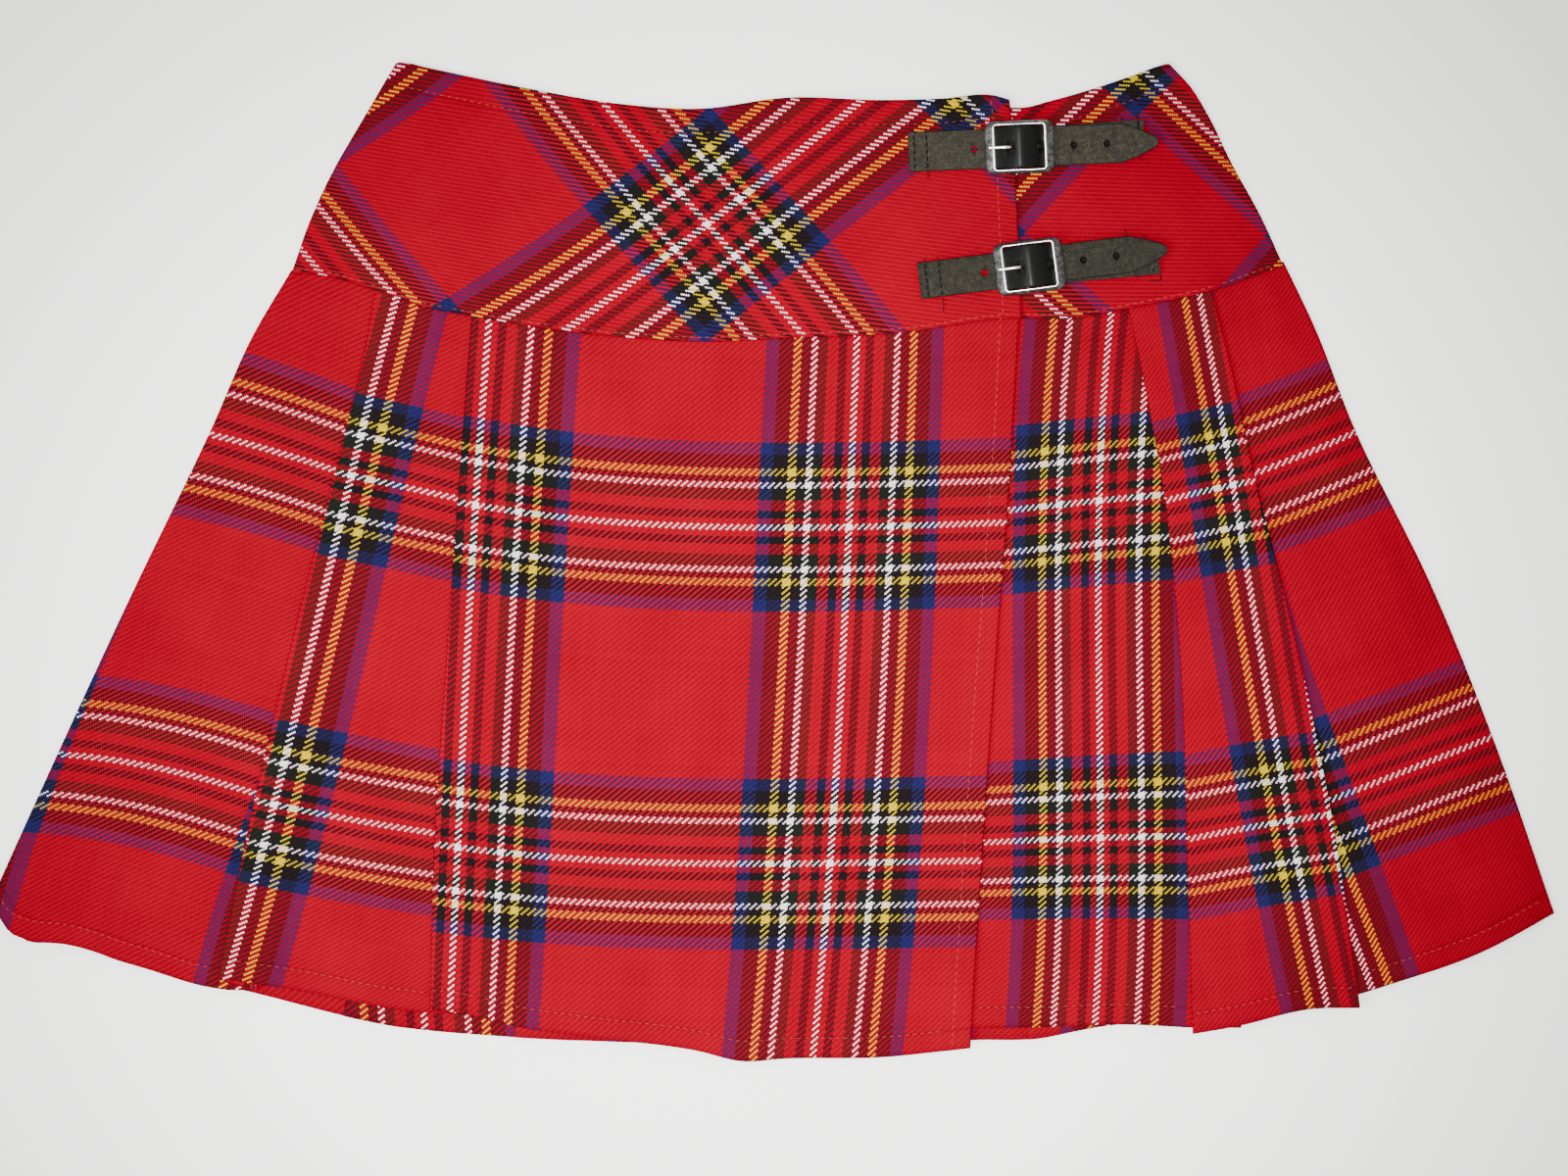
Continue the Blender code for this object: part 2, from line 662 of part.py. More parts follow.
def lie_on_yoke(place):
    """Height, pitch and roll of the plane that a strap set lies on, just clear of the yoke's highest point."""
    turn = math.radians(place["turn"])
    rows = []
    for u in np.linspace(STRAP_LEFT, CHAPE_END, 9):
        for v in (-CHAPE_WIDTH / 2, 0.0, CHAPE_WIDTH / 2):
            x = place["x"] + u * math.cos(turn) - v * math.sin(turn)
            y = place["y"] + u * math.sin(turn) + v * math.cos(turn)
            rows.append((1.0, u, v, under_yoke_top(x, y)))
    table = np.array(rows)
    fit = np.linalg.lstsq(table[:, :3], table[:, 3], rcond=None)[0]
    clear = (table[:, 3] - table[:, :3] @ fit).max()
    return fit[0] + clear, -math.atan(fit[1]), math.atan(fit[2])


def build_strap_set(tag, collection, cutters, leather, metal):
    place = STRAP_SETS[tag]
    holder = bpy.data.objects.new("strap_set_" + tag, None)
    height, pitch, roll = lie_on_yoke(place)
    holder.location = (np.array((place["x"], place["y"], height)) - MIDDLE) * MM
    holder.rotation_euler = (roll, pitch, math.radians(place["turn"]))
    collection.objects.link(holder)
    build_chape(tag, place["chape_shift"], holder, collection, cutters, leather)
    build_buckle(tag, holder, collection, cutters, metal)
    build_prong(tag, holder, collection, metal)
    build_strap(tag, holder, collection, cutters, leather)


def main():
    clear_scene()
    collection = new_collection("Tartan skirt")
    cutters = new_collection("Cutters")
    tartan = make_material("red_tartan")
    leather = make_material("black_leather")
    metal = make_material("pewter")
    build_yoke_back(collection, tartan)
    build_skirt_back(collection, tartan)
    build_yoke_under(collection, tartan)
    build_skirt_under(collection, tartan)
    build_yoke_over(collection, tartan)
    build_skirt_over(collection, tartan)
    for tag in STRAP_SETS:
        build_strap_set(tag, collection, cutters, leather, metal)


main()
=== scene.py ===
"""A red tartan mini kilt laid flat on a pale table: woven cloth, leather straps and metal buckles.

X runs to the right, Y towards the waist and Z up from the table, in metres. The cloth's tables hold
millimetres from the place that PHOTO_ORIGIN shows, and the tartan's lines hold the photograph's pixels.
"""

import math

import bmesh
import bpy
import numpy as np
from bpy.props import FloatProperty, FloatVectorProperty, IntProperty, PointerProperty
from mathutils import Euler, Matrix, Vector
from mathutils.bvhtree import BVHTree


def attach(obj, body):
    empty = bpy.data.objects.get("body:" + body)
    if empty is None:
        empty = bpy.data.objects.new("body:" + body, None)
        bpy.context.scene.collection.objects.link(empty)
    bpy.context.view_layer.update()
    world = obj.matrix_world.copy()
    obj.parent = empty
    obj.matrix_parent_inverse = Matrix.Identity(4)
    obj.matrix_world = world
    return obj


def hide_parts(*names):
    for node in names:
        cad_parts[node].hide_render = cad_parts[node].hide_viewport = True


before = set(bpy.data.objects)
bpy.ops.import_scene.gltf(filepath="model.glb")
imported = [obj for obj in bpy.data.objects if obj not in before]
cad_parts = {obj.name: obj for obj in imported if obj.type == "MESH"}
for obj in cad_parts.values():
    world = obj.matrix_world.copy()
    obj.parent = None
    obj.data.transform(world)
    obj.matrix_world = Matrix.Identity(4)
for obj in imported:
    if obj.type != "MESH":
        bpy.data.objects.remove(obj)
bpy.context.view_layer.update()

bl_info = {
    "name": "Tartan Mini Kilt",
    "version": (1, 0, 0),
    "blender": (4, 5, 0),
    "location": "3D View > Sidebar > Kilt",
    "description": "Lays out a tartan mini kilt with its yoke, pleats, leather straps and buckles",
    "category": "Add Mesh",
}

MM = 0.001

# Where the middle of the bounding box lies in the tables.
MIDDLE = np.array((-2.09, 0.12, 0.0))

# The photograph: its size, the pixel at the tables' origin and the millimetres in a pixel.
PHOTO_WIDTH = 1600
PHOTO_HEIGHT = 1200
PHOTO_ORIGIN = (793.0, 573.0)
PHOTO_SCALE = 0.42

# Cloth: one layer of wool twill as the solids have it, and the room between it and the next.
CLOTH = 1.0
GAP = 0.3
LAYER = CLOTH + GAP
TURN = LAYER / 2
REACH = TURN + CLOTH / 2

# Heights of the middle of the cloth above the table.
BACK_LEVEL = CLOTH / 2
YOKE_LEVEL = BACK_LEVEL + LAYER
SKIRT_LEVEL = BACK_LEVEL + 3 * LAYER

# How the cloth rounds off at the sides, slopes in from them and falls away beside a pleat.
SIDE_RADIUS = 1.6
SIDE_INSET = 1.8
SIDE_SLOPE = 13.0
FALL = 9.0

# How much of the apron's edge is turned under, the length over which the cloth climbs onto that, and how
# far the under apron runs behind the over apron.
EDGE_TURN = 8.0
EDGE_RISE = 6.0
UNDER_APRON = 90.0

# The yoke's height goes with these powers of the way down it: towards the seam, and over the pleats there.
SEAM_CLIMB = 2
PLEAT_CLIMB = 5

# The yoke's turned lower edge laps over the top of the skirt.
LAP = 0.7
LAP_RAISE = 0.65
LAP_SINK = 0.5
LAP_DEPTH = 5.0

# How finely the cloth is laid: rows down a piece, millimetres between columns where it runs on, and
# columns across a yoke that swells over the pleats, round a fold and round a side.
SKIRT_ROWS = 110
YOKE_ROWS = 44
BACK_ROWS = 70
COLUMN_STEP = 3.0
YOKE_COLUMNS = 70
TURN_STEPS = 8
SIDE_STEPS = 8

# X of the side edges and folds at six stations down a piece, from its top edge to its bottom edge.
STATIONS = (0.0, 0.1, 0.25, 0.5, 0.75, 1.0)
EDGES = {
    "yoke_left": (-163.8, -169.1, -177.0, -190.0, -200.4, -208.3),
    "yoke_right": (168.8, 176.8, 184.8, 195.3, 207.1, 216.9),
    "yoke_apron": (99.5, 100.6, 101.8, 102.8, 103.9, 104.6),
    "skirt_left": (-208.3, -224.3, -242.5, -275.1, -306.6, -337.3),
    "skirt_right": (217.1, 230.4, 246.8, 280.8, 308.8, 333.1),
    "skirt_apron": (103.7, 101.9, 99.0, 93.0, 87.6, 82.7),
    "fold_1": (-171.8, -177.2, -188.2, -206.8, -224.3, -239.4),
    "fold_2": (-130.6, -133.0, -136.3, -141.8, -146.6, -148.7),
    "fold_3": (149.9, 156.5, 165.0, 172.6, 175.3, 177.7),
    "fold_4": (185.6, 193.7, 203.7, 222.7, 238.3, 249.5),
}

# Upper and lower edges of the panels, as X and Y.
CURVES = {
    "waist_over": (
        (-164.0, 212.2), (-162.2, 213.6), (-160.0, 213.7), (-151.0, 211.8), (-106.0, 202.5),
        (-67.0, 196.0), (-33.0, 194.0), (3.0, 198.6), (46.0, 197.6), (70.0, 198.2), (93.0, 199.5),
        (100.0, 197.5),
    ),
    "waist_under": (
        (0.0, 192.0), (60.0, 193.5), (98.0, 194.5), (106.0, 194.5), (116.0, 197.0),
        (131.0, 201.2), (153.0, 208.4), (164.5, 212.5), (167.2, 213.0), (169.0, 211.8),
    ),
    "waist_back": (
        (-164.0, 211.2), (-161.0, 212.0), (-150.0, 210.1), (-106.0, 201.0), (-67.0, 194.5),
        (-33.0, 192.5), (3.0, 193.0), (60.0, 192.5), (106.0, 193.0), (131.0, 199.8), (158.0, 208.6),
        (166.0, 211.0), (169.0, 210.4),
    ),
    "seam": (
        (-215.0, 123.5), (-200.0, 124.0), (-170.0, 116.3), (-155.0, 110.9), (-127.0, 105.2),
        (-97.0, 100.2), (-63.0, 96.6), (-33.0, 95.0), (3.0, 96.4), (57.0, 99.2),
        (93.0, 104.4), (131.0, 105.6), (153.0, 109.6), (185.0, 116.4), (219.0, 128.5),
    ),
    "hem_side_left": (
        (-337.3, -145.3), (-329.0, -158.3), (-321.0, -161.8), (-303.0, -164.2), (-292.0, -167.2),
        (-283.0, -170.5), (-269.0, -174.7), (-247.0, -181.5), (-236.0, -183.5),
    ),
    "hem_pleat": (
        (-240.0, -178.4), (-220.0, -181.2), (-199.0, -184.6), (-171.0, -190.4), (-148.0, -193.4),
    ),
    "hem_apron": (
        (-150.0, -191.8), (-140.0, -192.6), (-110.0, -199.4), (-79.0, -203.8), (-33.0, -209.8),
        (-16.0, -213.9), (3.0, -212.8), (46.0, -212.1), (71.0, -209.6), (83.0, -208.2),
    ),
    "hem_under": ((0.0, -200.0), (83.0, -199.6), (117.0, -199.2), (145.0, -198.2), (178.0, -199.6)),
    "hem_box": ((178.0, -202.2), (197.0, -198.8), (228.0, -191.6), (250.0, -191.0)),
    "hem_side_right": ((238.0, -188.0), (250.0, -185.0), (264.0, -180.6), (301.0, -167.6), (333.0, -150.6)),
    "hem_back": (
        (-335.5, -146.3), (-328.0, -157.6), (-303.0, -163.4), (-269.0, -174.0), (-226.0, -184.4),
        (-162.0, -199.4), (-119.0, -203.4), (-76.0, -205.6), (3.0, -207.0), (87.0, -205.0),
        (110.0, -204.6), (132.0, -200.4), (171.0, -195.0), (213.0, -185.0), (255.0, -172.0),
        (297.0, -161.6), (331.0, -150.8),
    ),
}

# Pleats of the front: how deep each fold is at the yoke seam and at the hem.
PLEAT_DEPTHS = {
    "fold_1": (26.0, 17.0),
    "fold_2": (30.0, 17.0),
    "fold_3": (15.0, 21.0),
    "fold_4": (15.0, 9.0),
}

# Knife pleats of the back: eight evenly spaced, as shares of the width from the left.
BACK_PLEATS = 8
BACK_FIRST = 0.147
BACK_STEP = 0.11
BACK_DEPTHS = (14.0, 22.0)

# The back's threads: the weft thread at its hem, the warp thread at its middle and how far apart they lie.
BACK_HEM_THREAD = 340
BACK_MIDDLE_THREAD = 103.2
BACK_WARP_PITCH = 0.727
BACK_WEFT_PITCH = 0.64

# One strap and buckle, measured from the middle of the buckle's bar and the under yoke's top. The strap is
# a little crowned near its sides, and climbs onto the apron's edge over EDGE_CLIMB. Past its shoulder it
# narrows along a power, TIP_BULGE, and its last TIP_ROUNDING is rounded off.
STRAP_WIDTH = 16.2
STRAP_THICK = 1.5
STRAP_LEFT = -47.5
STRAP_SHOULDER = 43.0
STRAP_TIP = 59.4
STRAP_TIP_WIDTH = 4.2
TIP_ROUNDING = 3.0
TIP_POINT = 0.96
TIP_BULGE = 1.15
STRAP_CROWN = 0.3
CROWN_POWER = 9
EDGE_CLIMB = 8.0

# Lines along a strap, as shares of half its width. They even out from EVEN_FROM to EVEN_TO before the tip.
STRAP_LANES = (-1.0, -0.93, -0.8, -0.5, 0.0, 0.5, 0.8, 0.93, 1.0)
EVEN_FROM = 9.0
EVEN_TO = 3.0

# Inside the buckle the strap is wider and polished, and both fade out at its ends.
POLISHED = 13.4
POLISH_FADE = 2.0
WINDOW_STRAP = 18.0
WINDOW_FADE = 2.4

# The holes: from FIRST_BLIND on they keep a floor, a dark sheet that stands in for the shade down the hole,
# and the prong's hole is a slot. Each is painted dark as shade up to HOLE_SHADE above the middle of the
# leather.
HOLE_PITCH = 14.2
HOLE_FIRST = -19.3
HOLE_COUNT = 5
HOLE_RADIUS = 1.5
HOLE_DEPTH = 8.0
HOLE_SHADE = 0.3
FIRST_BLIND = 2
BLIND_FLOOR = 0.25
PRONG_HOLE = 1
PRONG_SLOT = (3.8, 1.7, HOLE_DEPTH)
PRONG_SLOT_SHIFT = 1.0

# The bar, the tab folded round it, the frame and the prong.
BAR_HEIGHT = 5.4
BAR_RADIUS = 1.0
CHAPE_THICK = 2.0
CHAPE_END = 53.5
CHAPE_WIDTH = 16.2
CHAPE_NARROW = 0.88
CHAPE_ROUNDING = 0.25
LOOP_RADIUS = BAR_RADIUS + GAP + CHAPE_THICK / 2
FRAME_LENGTH = 29.8
FRAME_WIDTH = 22.8
WINDOW_LENGTH = 20.8
WINDOW_WIDTH = 18.6
FRAME_THICK = 2.4
FRAME_BOTTOM = BAR_HEIGHT - 0.6
PRONG_RADIUS = 0.7
PRONG_TIP = -13.4

# Middle of the bar on the yoke, the turn of the set seen from above in degrees, how far the chape is
# sewn off the strap's line, the strap's own width, how much the chape leans and reaches on, and the
# painted light on its leather: the same leather is painted lighter on the upper strap and darker on the
# lower.
STRAP_SETS = {
    "upper": {
        "x": 103.7, "y": 177.2, "turn": 2.4, "chape_shift": 0.9,
        "width": 16.8, "slant": 0.034, "reach": 1.0, "painted_light_tone": 1.15,
    },
    "lower": {
        "x": 107.9, "y": 125.8, "turn": 7.2, "chape_shift": -0.9,
        "width": 15.4, "slant": -0.034, "reach": 1.035, "painted_light_tone": 0.8,
    },
}

# The stitches across the strap's end: how many, how thick, how much of their pitch they fill, how far
# they stay off the strap's sides and how far they lean. Then the loose thread: its radius and how high
# it lies at its start, its middle and its end.
SEWN_COUNT = 5
SEWN_THICK = 0.95
SEWN_SHARE = 0.86
SEWN_INSET = 0.6
SEWN_LEAN = 0.2
LOOSE_RADIUS = 0.22
LOOSE_HEIGHTS = (0.7, 0.35, 0.3)

# Where the strap is sewn down, from the bar, and the ends of black thread left lying: X, Y at both ends.
STRAP_SEWING = {"upper": (-45.0, -39.6), "lower": (-44.2, -38.4)}
CHAPE_SEWING = {"upper": ((51.3, 5.8), (51.3, 9.9)), "lower": ((52.6, -8.9), (52.6, -7.0))}
LOOSE_THREADS = {
    "upper": (
        ((-39.8, -8.2), (-39.6, -11.4)),
        ((-39.6, 8.2), (-39.9, 9.8)),
        ((-45.0, 8.2), (-45.3, 9.2)),
        ((44.6, 8.6), (44.2, 11.2)),
        ((51.3, 9.4), (50.9, 12.4)),
        ((51.2, -6.2), (52.0, -7.8)),
    ),
    "lower": (
        ((-38.4, -8.2), (-38.9, -14.2)),
        ((-38.4, 8.2), (-38.6, 9.2)),
        ((-44.2, 8.2), (-44.4, 9.2)),
        ((43.0, 8.2), (42.4, 11.4)),
        ((50.6, 5.6), (50.2, 7.8)),
        ((45.9, -8.4), (45.8, -10.2)),
        ((54.8, -8.8), (55.3, -12.6)),
        ((55.3, -12.6), (50.8, -12.2)),
    ),
}

# Rows of topstitching: how far they lie from the edge they follow, how thick the stitches are, how deep
# those at the waist sink and the largest step in height that a stitch crosses.
SEAM_STITCH = 1.6
WAIST_STITCH = 10.5
HEM_STITCH = 8.6
APRON_STITCH = 8.0
STITCH_THICK = 0.3
WAIST_SUNK = 0.09
STITCH_STEP = 0.8

# Height in metres that the cloth is felt for from above.
RAY_START = 0.1

# X of both ends of each apron's rows, and the X at which the over apron's edge meets waist, seam and hem.
SEAM_ROWS = {"over": (-206.0, 103.5), "under": (106.0, 215.0)}
WAIST_ROWS = {"over": (-164.0, 99.0), "under": (103.0, 172.0)}
HEM_ROWS = {
    "over": (("hem_side_left", -334.0, -240.0), ("hem_pleat", -238.0, -150.0), ("hem_apron", -148.0, 71.0)),
    "under": (("hem_under", 86.0, 175.0), ("hem_box", 179.0, 248.0), ("hem_side_right", 251.0, 330.0)),
}
EDGE_MEETS = {"waist": 100.0, "seam": 104.0, "hem": 83.0}

# The check, counted in threads from the middle of a white line out to half a repeat.
HALF_SETT = 112
WARP_SETT = (
    ("white", 2), ("red", 4), ("black", 5), ("red", 7), ("green", 6), ("white", 4),
    ("black", 6), ("yellow", 5), ("black", 9), ("blue", 8), ("red", 56),
)
WEFT_SETT = (
    ("white", 2), ("red", 4), ("black", 5), ("red", 7), ("green", 8), ("white", 4),
    ("black", 4), ("yellow", 5), ("black", 9), ("blue", 8), ("red", 56),
)

# Where the check's lines run in each panel: the thread, and photograph pixels along it. Warp threads
# count rightwards and weft threads downwards from a white line. On the yokes both run on the bias.
LINES = {
    "side_left": (
        (
            (56, (137, 600), (115, 664), (102, 692), (35, 852), (19, 919), (14, 944)),
            (168, (234, 884), (223, 912), (210, 951), (201, 989)),
            (69, (251, 362)),
            (139, (376, 362)),
            (150, (327, 560)),
        ),
        (
            (-36.5, (240, 390), (306, 408), (357, 426)),
            (0, (240, 449), (293, 464), (343, 481)),
            (28, (240, 496), (287, 510), (331, 522)),
            (56, (240, 538), (278, 547), (321, 562)),
            (168, (110, 692), (200, 707), (244, 717), (277, 727)),
            (187.5, (92, 717), (138, 723), (176, 731), (217, 738), (255, 747), (272, 753)),
            (196, (94, 729), (129, 733), (164, 741), (205, 750), (240, 759), (264, 763)),
            (224, (72, 771), (117, 774), (152, 782), (190, 791), (223, 800), (258, 808)),
            (252, (50, 812), (97, 814), (132, 820), (170, 830), (205, 839), (243, 849)),
            (260.5, (48, 824.5), (88, 827), (123, 831), (158, 841), (199, 852), (240, 861)),
            (280, (44, 850), (97, 851), (126, 860), (155, 868), (190, 878), (229, 888)),
        ),
    ),
    "pleat": (
        (
            (18, (388, 302), (377, 359), (351, 452), (324, 571), (304, 650), (283, 735)),
            (26, (405, 306), (374, 432), (341, 566), (298, 738), (283, 822), (261, 901), (234, 988)),
            (36.5, (423, 312), (393, 436), (360, 568), (319, 740), (304, 825), (281, 908), (257, 988)),
            (56, (456, 317), (436, 412), (393, 579), (353, 747), (318, 911), (287, 999)),
        ),
        (
            (-56, (362, 401), (434, 417), (477, 430)),
            (-36.5, (373, 432), (423, 442), (473, 453)),
            (0, (361, 486), (421, 498), (480, 512)),
            (36.5, (348, 541), (399, 552), (460, 564)),
            (56, (393, 579), (464, 592)),
            (187.5, (275, 761), (316, 771), (359, 779), (444, 794)),
            (224, (263, 816), (306, 827), (359, 836)),
            (260.5, (253, 871), (289, 881), (340, 889)),
            (280, (247, 899), (317, 912)),
        ),
    ),
    "apron": (
        (
            (0, (497, 345), (490, 480), (477, 680), (470, 830), (458, 1020)),
            (26, (545, 345), (532, 520), (517, 755), (503, 1020)),
            (36.5, (557, 345), (549, 480), (538, 680), (531, 830), (521, 1030)),
            (56, (589, 400), (565, 680), (555, 1010)),
            (168, (779, 430), (767, 680), (741, 1030)),
            (187.5, (814, 360), (806, 520), (799, 670), (790, 830), (774, 1020), (767, 1075)),
            (198, (830, 360), (825, 520), (817, 670), (807, 830), (792, 1020)),
            (224, (874, 360), (867, 520), (857, 730), (847, 870), (832, 1045)),
            (250, (914, 345), (910, 520), (900, 730), (887, 905), (875, 1045)),
            (260.5, (932, 355), (925, 520), (917, 730), (905, 905), (892, 1045)),
            (280, (965, 355), (955, 530), (945, 770), (928, 1030)),
        ),
        (
            (-36.5, (490, 459), (561, 472), (663, 477), (775, 482), (928, 478), (1032, 478)),
            (0, (487, 514), (775, 538)),
            (36.5, (484, 571), (663, 593), (928, 594)),
            (187.5, (449, 804), (531, 817), (663, 819), (755, 827), (912, 823), (1004, 819)),
            (260.5, (663, 935), (912, 938)),
        ),
    ),
    "under_apron": (
        (
            (-56, (1036, 610), (1033, 780), (1033, 935)),
            (-36.5, (1059, 600), (1056, 1040)),
            (0, (1121, 600), (1121, 917), (1120, 1039)),
            (36.5, (1181, 600), (1181, 920), (1176, 1043)),
            (56, (1208, 600), (1214, 937)),
        ),
        (
            (-36.5, (1034, 464), (1080, 460), (1123, 454), (1173, 450)),
            (187.5, (1012, 806), (1060, 803), (1183, 797)),
            (260.5, (1083, 910), (1179, 908)),
            (280, (1080, 936), (1213, 938)),
        ),
    ),
    "box": (
        (
            (-56, (1181, 314), (1196, 420), (1218, 529), (1231, 620), (1250, 757), (1275, 879), (1291, 960)),
            (
                -36.5, (1208, 304), (1228, 418), (1245, 521), (1261, 620), (1282, 753), (1307, 884),
                (1335, 1026),
            ),
            (-26, (1222, 300), (1245, 413), (1260, 519), (1278, 620), (1300, 753), (1323, 874), (1353, 1023)),
        ),
        (
            (-56, (1173, 431), (1200, 425), (1259, 411)),
            (-36.5, (1177, 458), (1203, 451), (1233, 444), (1263, 437)),
            (0, (1188, 513), (1216, 505), (1241, 498), (1276, 491)),
            (36.5, (1200, 566), (1226, 561), (1251, 554), (1291, 547)),
            (56, (1203, 591), (1236, 583), (1286, 576)),
            (168, (1220, 773), (1254, 763), (1316, 752), (1342, 747)),
            (187.5, (1222, 795), (1254, 788), (1289, 783), (1319, 781), (1346, 775)),
            (224, (1222, 853), (1268, 843), (1314, 835), (1355, 830)),
            (260.5, (1222, 910), (1266, 903), (1309, 893), (1342, 891), (1365, 885)),
            (280, (1220, 936), (1284, 926), (1328, 917), (1369, 910)),
        ),
    ),
    "side_right": (
        (
            (26, (1379, 954), (1400, 1008)),
            (36.5, (1368, 868), (1378, 900), (1390, 930), (1401, 960), (1418, 1003)),
            (56, (1308, 596), (1335, 680), (1352, 723), (1373, 776), (1390, 819), (1406, 879), (1427, 941)),
            (94, (1312, 290)),
            (123, (1398, 470)),
            (141, (1497, 702)),
            (142, (1575, 925)),
        ),
        (
            (-56, (1261, 403), (1311, 384)),
            (-36.5, (1266, 431), (1293, 421), (1314, 413), (1336, 403), (1363, 392)),
            (0, (1280, 484), (1303, 476), (1327, 467), (1354, 456), (1384, 441)),
            (36.5, (1294, 538), (1319, 527), (1342, 519), (1366, 509), (1409, 490)),
            (56, (1301, 562), (1336, 549), (1377, 532), (1417, 514)),
            (168, (1355, 725), (1390, 714), (1427, 705)),
            (187.5, (1349, 761), (1367, 753), (1404, 740), (1438, 725), (1500, 702)),
            (224, (1358, 816), (1385, 806), (1427, 789), (1468, 773), (1518, 752)),
            (260.5, (1369, 870), (1401, 857), (1438, 841), (1484, 825), (1538, 804)),
            (280, (1404, 881), (1450, 864), (1495, 847), (1546, 830)),
        ),
    ),
    "yoke_over": (
        (
            (-187.5, (431, 71), (402, 96), (373, 117)),
            (-168, (467, 79), (431, 112), (380, 145), (348, 164)),
            (-56, (462, 307), (501, 276), (554, 234), (598, 211)),
            (-36.5, (786, 102), (751, 129), (728, 155), (644, 220), (591, 249), (552, 276), (494, 323)),
            (-26, (809, 101), (760, 140), (729, 176), (663, 224), (616, 252), (559, 290), (519, 322)),
            (0, (877, 104), (829, 137), (763, 194), (723, 232), (689, 258), (629, 295), (577, 333)),
            (26, (948, 106), (906, 136), (868, 168), (835, 192), (782, 234), (719, 291), (662, 331)),
            (36.5, (975, 107), (934, 136), (890, 174), (831, 218), (804, 238), (721, 311), (688, 333)),
            (56, (928, 183), (898, 208), (865, 233), (844, 246)),
        ),
        (
            (224, (306, 254), (330, 279)),
            (196, (324, 209), (361, 254), (405, 303)),
            (187.5, (330, 198), (373, 244), (428, 312)),
            (168, (352, 179), (404, 247), (457, 305)),
            (56, (494, 83), (530, 130), (569, 176), (603, 215)),
            (36.5, (536, 91), (576, 144), (617, 191), (644, 220), (675, 258), (720, 311), (750, 343)),
            (28, (556, 96), (588, 134), (625, 177), (663, 224), (689, 258), (719, 291), (764, 340)),
            (0, (615, 106), (655, 155), (686, 190), (723, 232), (759, 274), (797, 315), (820, 343)),
            (-28, (674, 112), (719, 165), (754, 203), (782, 234), (818, 274), (857, 320), (875, 342)),
            (-36.5, (690, 114), (728, 155), (763, 194), (804, 238), (844, 285), (887, 339)),
            (-56, (848, 248), (873, 277), (898, 309), (921, 337)),
            (-168, (938, 106), (1006, 178), (1026, 200), (1037, 211)),
            (-187.5, (984, 116), (999, 132)),
            (-196, (998, 115), (1011, 130)),
        ),
    ),
    "yoke_under": (
        (
            (0, (1034, 117), (1043, 107)),
            (26, (1082, 126), (1095, 112), (1112, 95), (1123, 91)),
            (36.5, (1038, 198), (1059, 178), (1105, 129), (1131, 101), (1157, 79)),
            (56, (1047, 236), (1066, 217), (1085, 194), (1105, 175)),
            (168, (1256, 282), (1273, 261), (1292, 242)),
            (187.5, (1305, 268),),
        ),
        (
            (-28, (1057, 298), (1076, 316), (1085, 325)),
            (-36.5, (1074, 297), (1093, 314), (1101, 322)),
            (-56, (1046, 238), (1106, 293), (1131, 314)),
            (-168, (1172, 132), (1214, 169), (1252, 203), (1294, 242)),
            (-187.5, (1162, 85), (1189, 110), (1219, 140), (1248, 164), (1271, 191)),
            (-196, (1172, 77), (1198, 102), (1227, 131), (1254, 155)),
        ),
    ),
}

# How much of the thread below shows in the fuzz of the one on top.
BLEED = 0.09

# Yarns greener than PALE are the white and the yellow. They are thinner, so the yarn beside them covers
# the low ends of their floats, under the height THIN_YARN.
PALE = 0.2
THIN_YARN = 0.78
THIN_FADE = 4.0

# The twill repeats over so many threads.
TWILL = 4.0

# How light the cloth is painted at its lowest, with painted shade between its threads, and what its round
# floats, the warp on top (a painted highlight on the twill's ridges, over painted shade in the weft's
# valleys), each thread's own shade, the fuzz and the mottle of dye and painted sheen add to that. A row of
# stitches draws in a groove, painted darker as its shade.
LIGHT = {"low": 0.43, "round": 0.46, "warp": 0.24, "thread": 0.1, "fuzz": 0.2, "dye_and_sheen": 0.3, "groove": 0.12}
GROOVE_WIDTH = 0.7

# The fits of the threads: their scale in millimetres, and how stiff each of their terms is.
FIT_SCALE = 100.0
FIT_STIFFNESS = (0.0, 0.0, 0.0, 0.004, 0.004, 0.004, 0.03, 0.03, 0.03, 0.03)

# The tones of the leather's grain, as stops and shares of its colour, and its colour where it is polished.
GRAIN_TONES = ((0.34, 0.3), (0.5, 1.0), (0.68, 3.4))
POLISH_COLOUR = (0.001, 0.001, 0.0008)
SEWING_COLOUR = (0.0035, 0.0035, 0.0035)

# The table: half its width in metres, and its two tones as read off a screen.
TABLE_REACH = 2.5
TABLE_TONES = ((244, 244, 241), (248, 248, 246))

# The lights: where they stand and aim, in metres, their power in watts and their size in metres. Then
# the width of the flash's cone in degrees and of the camera's sensor in millimetres.
WINDOW_LIGHT = {"place": (-1.3, -0.6, 2.0), "aim": (0.0, 0.0, 0.0), "power": 58.0, "size": 1.4}
FLASH = {"place": (-0.06, -0.05, 3.2), "aim": (-0.02, -0.07, 0.0), "power": 1200.0, "size": 0.14}
FLASH_CONE = 16.0
SENSOR_WIDTH = 36.0

